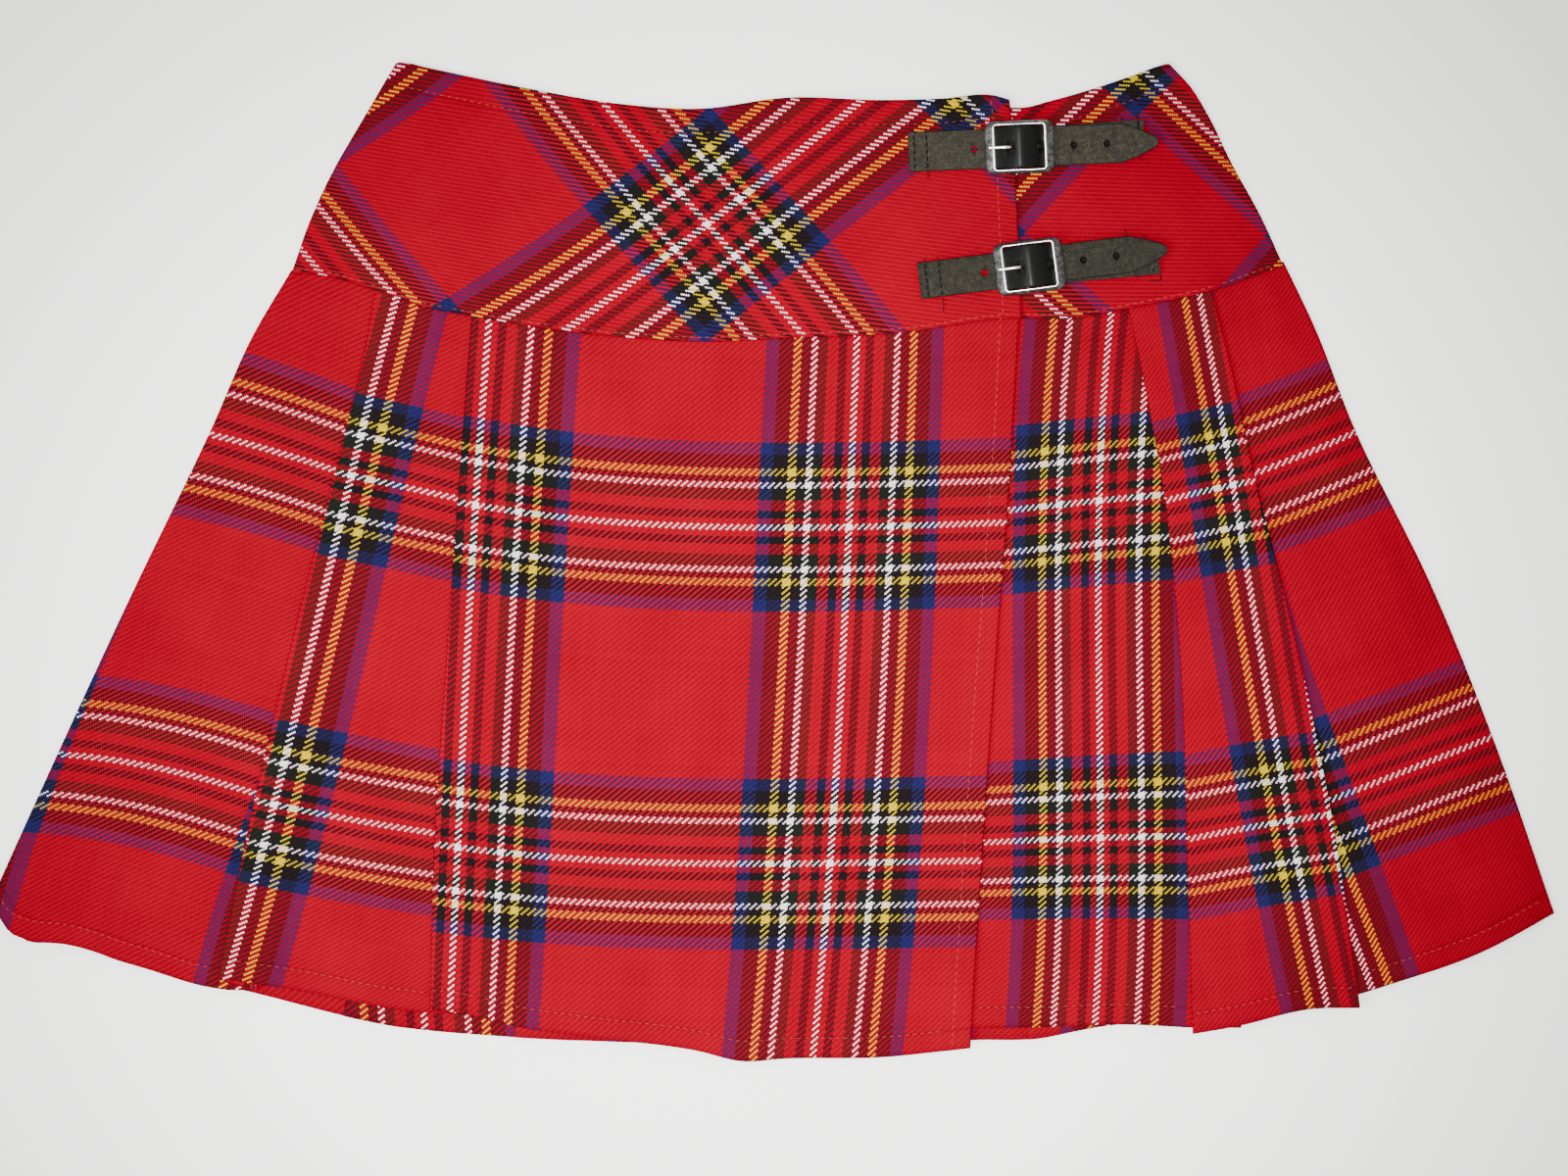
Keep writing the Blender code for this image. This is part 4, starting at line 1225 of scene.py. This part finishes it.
def soften(piece, width):
    """Rounds the sharp edges of a piece."""
    round_off = piece.modifiers.new("Rounded edges", "BEVEL")
    round_off.width = width * MM
    round_off.segments = 2
    round_off.limit_method = "ANGLE"
    round_off.angle_limit = math.radians(40)
    round_off.use_clamp_overlap = True


def strap_stations():
    """Places along a strap, closer over the bar and closer still towards the tip."""
    to_tip = np.linspace(1, 0, 22)[1:] ** 1.4
    return np.concatenate(
        [
            np.linspace(STRAP_LEFT, -12.0, 24),
            np.linspace(-11.0, 11.0, 23),
            np.linspace(12.5, STRAP_SHOULDER, 18),
            STRAP_TIP - (STRAP_TIP - STRAP_SHOULDER) * to_tip,
        ]
    )


def hole_cutter(name, index):
    """A peg for a punched hole, or a block for the prong's slot."""
    u = HOLE_FIRST + HOLE_PITCH * index
    cut = bmesh.new()
    if index == PRONG_HOLE:
        u += PRONG_SLOT_SHIFT
        bmesh.ops.create_cube(cut, size=1.0)
        bmesh.ops.scale(cut, vec=PRONG_SLOT, verts=cut.verts)
    else:
        bmesh.ops.create_cone(
            cut, cap_ends=True, segments=24, radius1=HOLE_RADIUS, radius2=HOLE_RADIUS, depth=HOLE_DEPTH
        )
    # From FIRST_BLIND on the peg stops short and leaves a floor, painted dark as the hole's shade.
    sunk = (HOLE_DEPTH - STRAP_THICK) / 2 + BLIND_FLOOR if index >= FIRST_BLIND else 0.0
    bmesh.ops.translate(cut, vec=(u, 0, strap_height(u) + sunk), verts=cut.verts)
    return new_piece(name, cut)


def shade_strap(mesh):
    """Polishes a strap inside the buckle and paints shade into its holes."""
    polish = mesh.attributes["polish"].data
    rim = mesh.attributes["rim"].data
    for vert in mesh.vertices:
        u, v, height = vert.co
        nearest = HOLE_FIRST + HOLE_PITCH * round((u - HOLE_FIRST) / HOLE_PITCH)
        in_hole = math.hypot(u - nearest, v) < HOLE_RADIUS + 0.1
        polish[vert.index].value = ease((POLISHED - abs(u)) / POLISH_FADE)
        # Walls and floor inside a hole are painted dark as shade.
        if in_hole and height < strap_height(nearest) + HOLE_SHADE:
            rim[vert.index].value = 1.0
            polish[vert.index].value = 0.0


def strap_mesh(tag, lie, full):
    """A strap with a rounded tip, a little crowned, with its punched holes."""
    us = strap_stations()
    lanes = len(STRAP_LANES) - 1
    work = bmesh.new()
    work.verts.layers.float.new("polish")
    rim = work.verts.layers.float.new("rim")
    bmesh.ops.create_grid(work, x_segments=len(us) - 1, y_segments=lanes, size=0.5)
    for vert in work.verts:
        u = us[round((vert.co.x + 0.5) * (len(us) - 1))]
        even = ease((u - STRAP_TIP + EVEN_FROM) / (EVEN_FROM - EVEN_TO))
        share = STRAP_LANES[round((vert.co.y + 0.5) * lanes)] * (1 - even) + 2 * vert.co.y * even
        width = strap_width(u, full)
        crown = -STRAP_CROWN * abs(share) ** CROWN_POWER * width / full
        vert.co = (u, share / 2 * width, strap_height(u) + crown)
        vert[rim] = 1.0 if abs(vert.co.y) > width / 2 - 0.01 else 0.0
    piece = new_piece(f"strap_leather_{tag}", work)
    wall = piece.modifiers.new("Leather", "SOLIDIFY")
    wall.thickness = STRAP_THICK
    wall.offset = 0.0
    holes = range(bpy.context.scene.kilt_sizes.holes)
    cutters = [hole_cutter(f"hole_{tag}_{index}", index) for index in holes]
    for cutter in cutters:
        punch = piece.modifiers.new("Hole", "BOOLEAN")
        punch.operation = "DIFFERENCE"
        punch.solver = "EXACT"
        punch.object = cutter
    applied(piece)
    shade_strap(piece.data)
    for cutter in cutters:
        bpy.data.objects.remove(cutter)
    piece.data.transform(lie)
    return piece


def soft_copy(name, node):
    """A merged copy of a solid with its edges rounded."""
    work = bmesh.new()
    work.from_mesh(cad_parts[node].data)
    bmesh.ops.remove_doubles(work, verts=work.verts, dist=0.00001)
    piece = new_piece(name, work)
    soften(piece, CHAPE_ROUNDING)
    return applied(piece)


def add_stitch(work, start, end, thick):
    """A short plump stitch from start to end."""
    along = end - start
    spin = along.to_track_quat("X", "Z").to_matrix().to_4x4()
    size = Matrix.Diagonal((along.length, thick, thick, 1.0))
    place = Matrix.Translation((start + end) / 2) @ spin @ size
    bmesh.ops.create_uvsphere(work, u_segments=6, v_segments=4, radius=0.5, matrix=place)


def round_loop(work, segments, radius, matrix):
    """The points and the edges of a new circle."""
    made = bmesh.ops.create_circle(work, segments=segments, radius=radius, matrix=matrix)["verts"]
    return made, [line for line in work.edges if line.verts[0] in made and line.verts[1] in made]


def add_tube(work, points, radius, segments):
    """A closed round strand through the points, drawn in at both ends."""
    points = [Vector(point) for point in points]
    points = [points[0].lerp(points[1], 0.001), *points, points[-1].lerp(points[-2], 0.001)]
    before = None
    for index, point in enumerate(points):
        ahead = points[min(index + 1, len(points) - 1)] - points[max(index - 1, 0)]
        spin = ahead.to_track_quat("Z", "Y").to_matrix().to_4x4()
        is_end = index in (0, len(points) - 1)
        wide = radius * 0.55 if is_end else radius
        ring = round_loop(work, segments, wide, Matrix.Translation(point) @ spin)[1]
        if before:
            bmesh.ops.bridge_loops(work, edges=before + ring)
        if is_end:
            bmesh.ops.contextual_create(work, geom=ring)
        before = ring


def strap_sewing(tag, lie):
    """Two rows of black stitches across the strap's end, and loose ends of thread lying on the cloth."""
    work = bmesh.new()
    inset = STRAP_WIDTH / 2 - SEWN_INSET
    step = 2 * inset / SEWN_COUNT
    for row, u in enumerate(STRAP_SEWING[tag]):
        top = strap_height(u) + STRAP_THICK / 2
        for index in range(SEWN_COUNT):
            v = -inset + step * index
            lean = SEWN_LEAN * math.sin(7 * index + 3 * row)
            start = Vector((u + lean, v, top))
            end = Vector((u - lean, v + step * SEWN_SHARE, top))
            add_stitch(work, start, end, SEWN_THICK)
    start, end = (Vector((*place, GAP + CHAPE_THICK)) for place in CHAPE_SEWING[tag])
    add_stitch(work, start, end, SEWN_THICK)
    for (u1, v1), (u2, v2) in LOOSE_THREADS[tag]:
        base = strap_height(STRAP_LEFT) - STRAP_THICK / 2 if u1 < 0 else GAP
        first, middle, last = (base + height for height in LOOSE_HEIGHTS)
        route = ((u1, v1, first), ((u1 + u2) / 2 + 0.2, (v1 + v2) / 2, middle), (u2, v2, last))
        add_tube(work, route, LOOSE_RADIUS, 6)
    bmesh.ops.recalc_face_normals(work, faces=work.faces)
    return new_piece(f"strap_sewing_{tag}", work, lie)


def rounded_loop(work, length, width, radius, z):
    """A rounded rectangle of edges at the height z, made from a circle whose quarters are drawn apart."""
    steps = 32
    points, ring = round_loop(work, steps, radius, Matrix.Identity(4))
    for index, vert in enumerate(points):
        angle = 2 * math.pi * (index + 0.5) / steps
        side_x = math.copysign(length / 2 - radius, math.cos(angle))
        side_y = math.copysign(width / 2 - radius, math.sin(angle))
        vert.co = (side_x + radius * math.cos(angle), side_y + radius * math.sin(angle), z)
    return ring


def buckle_mesh(tag, lie):
    """A frame that slopes from its inner crest to its outer edge, with a bar across the middle."""
    low = FRAME_BOTTOM
    high = FRAME_BOTTOM + FRAME_THICK
    profile = (
        (FRAME_LENGTH - 1.2, FRAME_WIDTH - 1.2, 3.6, low),
        (FRAME_LENGTH - 0.3, FRAME_WIDTH - 0.3, 4.0, low + 0.12),
        (FRAME_LENGTH, FRAME_WIDTH, 4.1, low + 0.5),
        (FRAME_LENGTH - 0.3, FRAME_WIDTH - 0.2, 4.0, low + 1.0),
        (FRAME_LENGTH - 1.0, FRAME_WIDTH - 0.7, 3.7, low + 1.35),
        (WINDOW_LENGTH + 2.6, WINDOW_WIDTH + 1.9, 2.2, high - 0.22),
        (WINDOW_LENGTH + 1.6, WINDOW_WIDTH + 1.3, 1.6, high),
        (WINDOW_LENGTH + 0.9, WINDOW_WIDTH + 0.7, 1.2, high - 0.02),
        (WINDOW_LENGTH + 0.35, WINDOW_WIDTH + 0.3, 1.0, high - 0.3),
        (WINDOW_LENGTH, WINDOW_WIDTH, 0.9, high - 0.9),
        (WINDOW_LENGTH, WINDOW_WIDTH, 0.9, low + 0.2),
        (WINDOW_LENGTH + 0.4, WINDOW_WIDTH + 0.4, 1.1, low),
    )
    work = bmesh.new()
    crest = work.verts.layers.float.new("crest")
    loops = [rounded_loop(work, length, width, radius, z) for length, width, radius, z in profile]
    # The crest marks the top of the frame, where the metal is painted bright as a highlight.
    for vert in work.verts:
        vert[crest] = ease((vert.co.z - high + 0.2) / 0.16)
    for first, second in zip(loops, loops[1:] + loops[:1]):
        bmesh.ops.bridge_loops(work, edges=first + second)
    bmesh.ops.recalc_face_normals(work, faces=work.faces)
    across = Matrix.Translation((0, 0, BAR_HEIGHT)) @ Matrix.Rotation(math.pi / 2, 4, "X")
    bmesh.ops.create_cone(
        work, cap_ends=True, segments=20, radius1=BAR_RADIUS, radius2=BAR_RADIUS,
        depth=(WINDOW_WIDTH + FRAME_WIDTH) / 2, matrix=across,
    )
    return new_piece(f"buckle_metal_{tag}", work, lie)


def prong_mesh(tag, lie):
    """A bent wire from the bar, up through the strap and across the frame's left side."""
    rest = FRAME_BOTTOM + FRAME_THICK + GAP + PRONG_RADIUS
    root = -(BAR_RADIUS + GAP + PRONG_RADIUS)
    route = curve(
        (
            (PRONG_TIP, rest), (-11.6, rest), (-9.8, rest), (-7.6, rest), (-5.6, rest), (-4.2, rest - 0.4),
            (-3.3, rest - 1.2), (-2.6, BAR_HEIGHT + 1.0), (root, BAR_HEIGHT),
        )
    )
    work = bmesh.new()
    crest = work.verts.layers.float.new("crest")
    add_tube(work, [(u, 0, float(route(u))) for u in np.linspace(PRONG_TIP, root, 30)], PRONG_RADIUS, 14)
    # The whole prong counts as crest, painted bright all over like the frame's highlighted crest.
    for vert in work.verts:
        vert[crest] = 1.0
    bmesh.ops.recalc_face_normals(work, faces=work.faces)
    return new_piece(f"prong_metal_{tag}", work, lie)


def walk(route, step):
    """Places a step apart along a line of table millimetres."""
    route = np.array(route)
    gone = np.concatenate([[0.0], np.cumsum(np.hypot(*np.diff(route, axis=0).T))])
    stations = np.arange(0.0, gone[-1], step)
    return np.stack([np.interp(stations, gone, route[:, axis]) for axis in (0, 1)], axis=1)


def sewn_rows(name, cloths, routes):
    """Stitches along each route, sunk into the face of whichever cloth is on top there."""
    sizes = bpy.context.scene.kilt_sizes
    depsgraph = bpy.context.evaluated_depsgraph_get()
    trees = [BVHTree.FromObject(bpy.data.objects[cloth], depsgraph) for cloth in cloths]

    def on_cloth(place):
        x, y = (place - MIDDLE[:2]) * MM
        hits = [tree.ray_cast(Vector((x, y, RAY_START)), Vector((0, 0, -1)))[0] for tree in trees]
        hits = [hit for hit in hits if hit]
        return max(hits, key=lambda hit: hit.z) if hits else None

    work = bmesh.new()
    pitch = (sizes.stitch + sizes.stitch_gap) / MM
    share = sizes.stitch / (sizes.stitch + sizes.stitch_gap)
    for route, sunk in routes:
        places = walk(route, pitch)
        for near, far in zip(places, places[1:]):
            start = on_cloth(near)
            end = on_cloth(near + (far - near) * share)
            if start and end and abs(start.z - end.z) < STITCH_STEP * MM:
                deep = Vector((0.0, 0.0, sunk * MM))
                add_stitch(work, start - deep, end - deep, STITCH_THICK * MM)
    return new_piece(name, work)


def offset_row(name, start, end, shift, sunk=0.0):
    """A row that keeps a distance above or below an edge, and how deep its stitches sink."""
    line = outline(name)
    return [(x, float(line(x)) + shift) for x in np.linspace(start, end, 60)], sunk


def apron_edge_rows():
    """The rows down the over apron's right edge: one on the yoke and one on the skirt."""
    at_waist = float(outline("waist_over")(EDGE_MEETS["waist"]))
    at_seam = float(outline("seam")(EDGE_MEETS["seam"]))
    at_hem = float(outline("hem_apron")(EDGE_MEETS["hem"]))
    rows = []
    for name, high, low in (("yoke_apron", at_waist, at_seam), ("skirt_apron", at_seam, at_hem)):
        line = side_line(name)
        route = [(line(f) - APRON_STITCH, high + (low - high) * f) for f in np.linspace(0, 1, 30)]
        rows.append((route, 0.0))
    return rows


def apron_rows(side):
    """Topstitching on the over or the under apron, as routes and how deep their stitches sink."""
    return [
        offset_row("seam", *SEAM_ROWS[side], SEAM_STITCH - LAP),
        offset_row(f"waist_{side}", *WAIST_ROWS[side], -WAIST_STITCH, WAIST_SUNK),
        *(apron_edge_rows() if side == "over" else []),
        *(offset_row(*row, HEM_STITCH) for row in HEM_ROWS[side]),
    ]


class KILT_OT_yokes(bpy.types.Operator):
    """Lay the hip yokes of the two aprons and the back"""

    bl_idname = "kilt.yokes"
    bl_label = "Hip Yokes"

    def execute(self, context):
        material = tartan_material("tartan_yokes", "from_top", WAIST_STITCH)
        rows = YOKE_ROWS
        fraction = np.linspace(0, 1, rows)
        level = yoke_rise(fraction)
        seam = outline("seam")
        left = edge("yoke_left", rows)
        right = edge("yoke_right", rows)
        apron = edge("yoke_apron", rows)
        under = apron - UNDER_APRON

        cloth = Cloth(None, outline("waist_back"), seam, rows, lift=LAP)
        cloth.column(left + SIDE_INSET, BACK_LEVEL)
        cloth.run(right - SIDE_INSET, BACK_LEVEL)
        cloth.solid("yoke_back_cloth", "yoke_back", material)

        cloth = Cloth("yoke_under", outline("waist_under"), seam, rows, lift=-LAP)
        cloth.column(under, level)
        swelling_run(cloth, under, right - SIDE_SLOPE, level, fraction)
        cloth.end_side(right)
        cloth.solid("yoke_under_cloth", "yoke_front_under", material, "over")

        cloth = Cloth("yoke_over", outline("waist_over"), seam, rows, lift=-LAP)
        cloth.start_side(left, left + SIDE_SLOPE, level)
        swelling_run(cloth, left + SIDE_SLOPE, under - FALL, level, fraction)
        cloth.run(under - GAP, level + LAYER)
        turned_edge(cloth, apron, level + LAYER)
        cloth.solid("yoke_over_cloth", "yoke_front_over", material, "over")
        return {"FINISHED"}


class KILT_OT_skirt(bpy.types.Operator):
    """Lay the pleated skirt of the two aprons and the back"""

    bl_idname = "kilt.skirt"
    bl_label = "Pleated Skirt"

    def execute(self, context):
        material = tartan_material("tartan_skirt", "from_bottom", HEM_STITCH)
        seam = outline("seam")

        rows = BACK_ROWS
        left = edge("skirt_left", rows) + SIDE_INSET
        right = edge("skirt_right", rows) - SIDE_INSET
        cloth = Cloth(None, seam, outline("hem_back"), rows, drop=-LAP)
        cloth.column(left, BACK_LEVEL)
        for index in range(BACK_PLEATS):
            far = left + (right - left) * (BACK_FIRST + BACK_STEP * index)
            cloth.pleat(far, far - taper(BACK_DEPTHS, rows), LAYER, None)
            cloth.run(far, BACK_LEVEL + 2 * LAYER)
            cloth.run(far + FALL, BACK_LEVEL)
        cloth.run(right, BACK_LEVEL)
        cloth.solid("skirt_back_cloth", "skirt_back", material)

        rows = SKIRT_ROWS
        left = edge("skirt_left", rows)
        right = edge("skirt_right", rows)
        apron = edge("skirt_apron", rows)
        under = apron - UNDER_APRON
        depths = {name: taper(ends, rows) for name, ends in PLEAT_DEPTHS.items()}

        cloth = Cloth("under_apron", seam, outline("hem_under"), rows, drop=LAP)
        cloth.column(under, SKIRT_LEVEL)
        near = edge("fold_3", rows)
        cloth.run(near - FALL, SKIRT_LEVEL)
        cloth.pleat(near + depths["fold_3"], near, LAYER, "box", bottom=outline("hem_box"))
        far = edge("fold_4", rows)
        last_hem = outline("hem_side_right")
        cloth.pleat(far, far - depths["fold_4"], -LAYER, "side_right", shows_far=True, bottom=last_hem)
        cloth.run(far + CLOTH, SKIRT_LEVEL)
        cloth.run(right - SIDE_SLOPE, SKIRT_LEVEL)
        cloth.end_side(right)
        cloth.solid("skirt_under_cloth", "skirt_front_under", material, "under")

        cloth = Cloth("side_left", seam, outline("hem_side_left"), rows, drop=LAP)
        cloth.start_side(left, left + SIDE_SLOPE, SKIRT_LEVEL)
        for name, hem, panel in (("fold_1", "hem_pleat", "pleat"), ("fold_2", "hem_apron", "apron")):
            near = edge(name, rows)
            far = near + depths[name]
            cloth.pleat(far, near, LAYER, panel, bottom=outline(hem))
            cloth.mirror = None
            cloth.run(far, SKIRT_LEVEL + 2 * LAYER)
            cloth.run(far + FALL, SKIRT_LEVEL)
        cloth.run(under - FALL - GAP, SKIRT_LEVEL)
        cloth.run(under - GAP, SKIRT_LEVEL + LAYER)
        turned_edge(cloth, apron, SKIRT_LEVEL + LAYER)
        cloth.solid("skirt_over_cloth", "skirt_front_over", material, "under")
        return {"FINISHED"}


class KILT_OT_straps(bpy.types.Operator):
    """Cut, punch and sew on the leather straps, and fold their tabs round the buckle bars"""

    bl_idname = "kilt.straps"
    bl_label = "Leather Straps"

    def execute(self, context):
        thread = thread_material("black_sewing_thread", SEWING_COLOUR)
        for tag, place in STRAP_SETS.items():
            # Each strap gets its own copy of the leather, painted lighter or darker as painted light.
            leather = leather_material(f"black_leather_{tag}", place["painted_light_tone"])
            lie = strap_matrix(place)
            finish_piece(strap_mesh(tag, lie, place["width"]), leather, f"strap_{tag}")
            chape = soft_copy(f"chape_leather_{tag}", f"chape_{tag}")
            lean = Matrix.Identity(4)
            lean[0][0] = place["reach"]
            lean[1][0] = place["slant"]
            lean[1][1] = CHAPE_NARROW
            lean[1][3] = place["chape_shift"] * (1.0 - CHAPE_NARROW)
            chape.data.transform(lie @ lean @ lie.inverted())
            finish_piece(chape, leather, f"chape_{tag}")
            finish_piece(strap_sewing(tag, lie), thread)
        return {"FINISHED"}


class KILT_OT_buckles(bpy.types.Operator):
    """Cast the centre-bar buckles and bend their prongs"""

    bl_idname = "kilt.buckles"
    bl_label = "Buckles"

    def execute(self, context):
        metal = metal_material("cast_pewter")
        for tag, place in STRAP_SETS.items():
            lie = strap_matrix(place)
            finish_piece(buckle_mesh(tag, lie), metal, f"buckle_{tag}")
            finish_piece(prong_mesh(tag, lie), metal, f"prong_{tag}")
        return {"FINISHED"}


class KILT_OT_topstitching(bpy.types.Operator):
    """Sew the seams, the hems, the waist and the apron's edge"""

    bl_idname = "kilt.topstitching"
    bl_label = "Topstitching"

    def execute(self, context):
        thread = thread_material("topstitch_thread", tuple(context.scene.kilt_colours.thread))
        for side in ("over", "under"):
            cloths = (f"yoke_{side}_cloth", f"skirt_{side}_cloth")
            finish_piece(sewn_rows(f"{side}_stitches", cloths, apron_rows(side)), thread)
        return {"FINISHED"}


class KILT_OT_stage(bpy.types.Operator):
    """Add the table, the soft light and the camera straight above"""

    bl_idname = "kilt.stage"
    bl_label = "Table and Light"

    def execute(self, context):
        work = bmesh.new()
        bmesh.ops.create_grid(work, x_segments=1, y_segments=1, size=TABLE_REACH)
        table = new_piece("table", work)
        table.data.materials.append(table_material("pale_table"))

        sky = bpy.data.worlds.new("soft_room")
        sky.use_nodes = True
        sky.node_tree.nodes["Background"].inputs["Color"].default_value = (1.0, 1.0, 1.0, 1.0)
        sky.node_tree.nodes["Background"].inputs["Strength"].default_value = 1.0
        context.scene.world = sky
        window = bpy.data.lights.new("window", "AREA")
        window.shape = "SQUARE"
        window.size = WINDOW_LIGHT["size"]
        flash = bpy.data.lights.new("flash", "SPOT")
        flash.spot_size = math.radians(FLASH_CONE)
        flash.spot_blend = 1.0
        flash.shadow_soft_size = FLASH["size"]
        for lamp, facts in ((window, WINDOW_LIGHT), (flash, FLASH)):
            lamp.energy = facts["power"]
            light = bpy.data.objects.new(lamp.name, lamp)
            light.location = facts["place"]
            aim = Vector(facts["aim"]) - Vector(facts["place"])
            light.rotation_euler = aim.to_track_quat("-Z", "Y").to_euler()
            context.scene.collection.objects.link(light)

        height = context.scene.kilt_sizes.camera_height
        lens = bpy.data.cameras.new("camera")
        lens.sensor_width = SENSOR_WIDTH
        lens.lens = SENSOR_WIDTH * height / (PHOTO_WIDTH * PHOTO_SCALE * MM)
        camera = bpy.data.objects.new("camera", lens)
        across, up = (from_photo([(PHOTO_WIDTH / 2, PHOTO_HEIGHT / 2)])[0] - MIDDLE[:2]) * MM
        camera.location = (across, up, height)
        context.scene.collection.objects.link(camera)
        context.scene.camera = camera
        return {"FINISHED"}


class KILT_PT_panel(bpy.types.Panel):
    """Lists the kilt's pieces in the sidebar"""

    bl_label = "Tartan Mini Kilt"
    bl_idname = "KILT_PT_panel"
    bl_space_type = "VIEW_3D"
    bl_region_type = "UI"
    bl_category = "Kilt"

    def draw(self, context):
        for group in (context.scene.kilt_colours, context.scene.kilt_sizes):
            for name in group.__annotations__:
                self.layout.prop(group, name)
        for operator in OPERATORS:
            self.layout.operator(operator.bl_idname)


OPERATORS = (
    KILT_OT_yokes,
    KILT_OT_skirt,
    KILT_OT_straps,
    KILT_OT_buckles,
    KILT_OT_topstitching,
    KILT_OT_stage,
)
CLASSES = (KiltColours, KiltSizes, *OPERATORS, KILT_PT_panel)


def register():
    for each in CLASSES:
        bpy.utils.register_class(each)
    bpy.types.Scene.kilt_colours = PointerProperty(type=KiltColours)
    bpy.types.Scene.kilt_sizes = PointerProperty(type=KiltSizes)


def unregister():
    del bpy.types.Scene.kilt_sizes
    del bpy.types.Scene.kilt_colours
    for each in reversed(CLASSES):
        bpy.utils.unregister_class(each)


def main():
    register()
    bpy.ops.kilt.yokes()
    bpy.ops.kilt.skirt()
    bpy.ops.kilt.straps()
    bpy.ops.kilt.buckles()
    bpy.ops.kilt.topstitching()
    bpy.ops.kilt.stage()


if __name__ == "__main__":
    main()
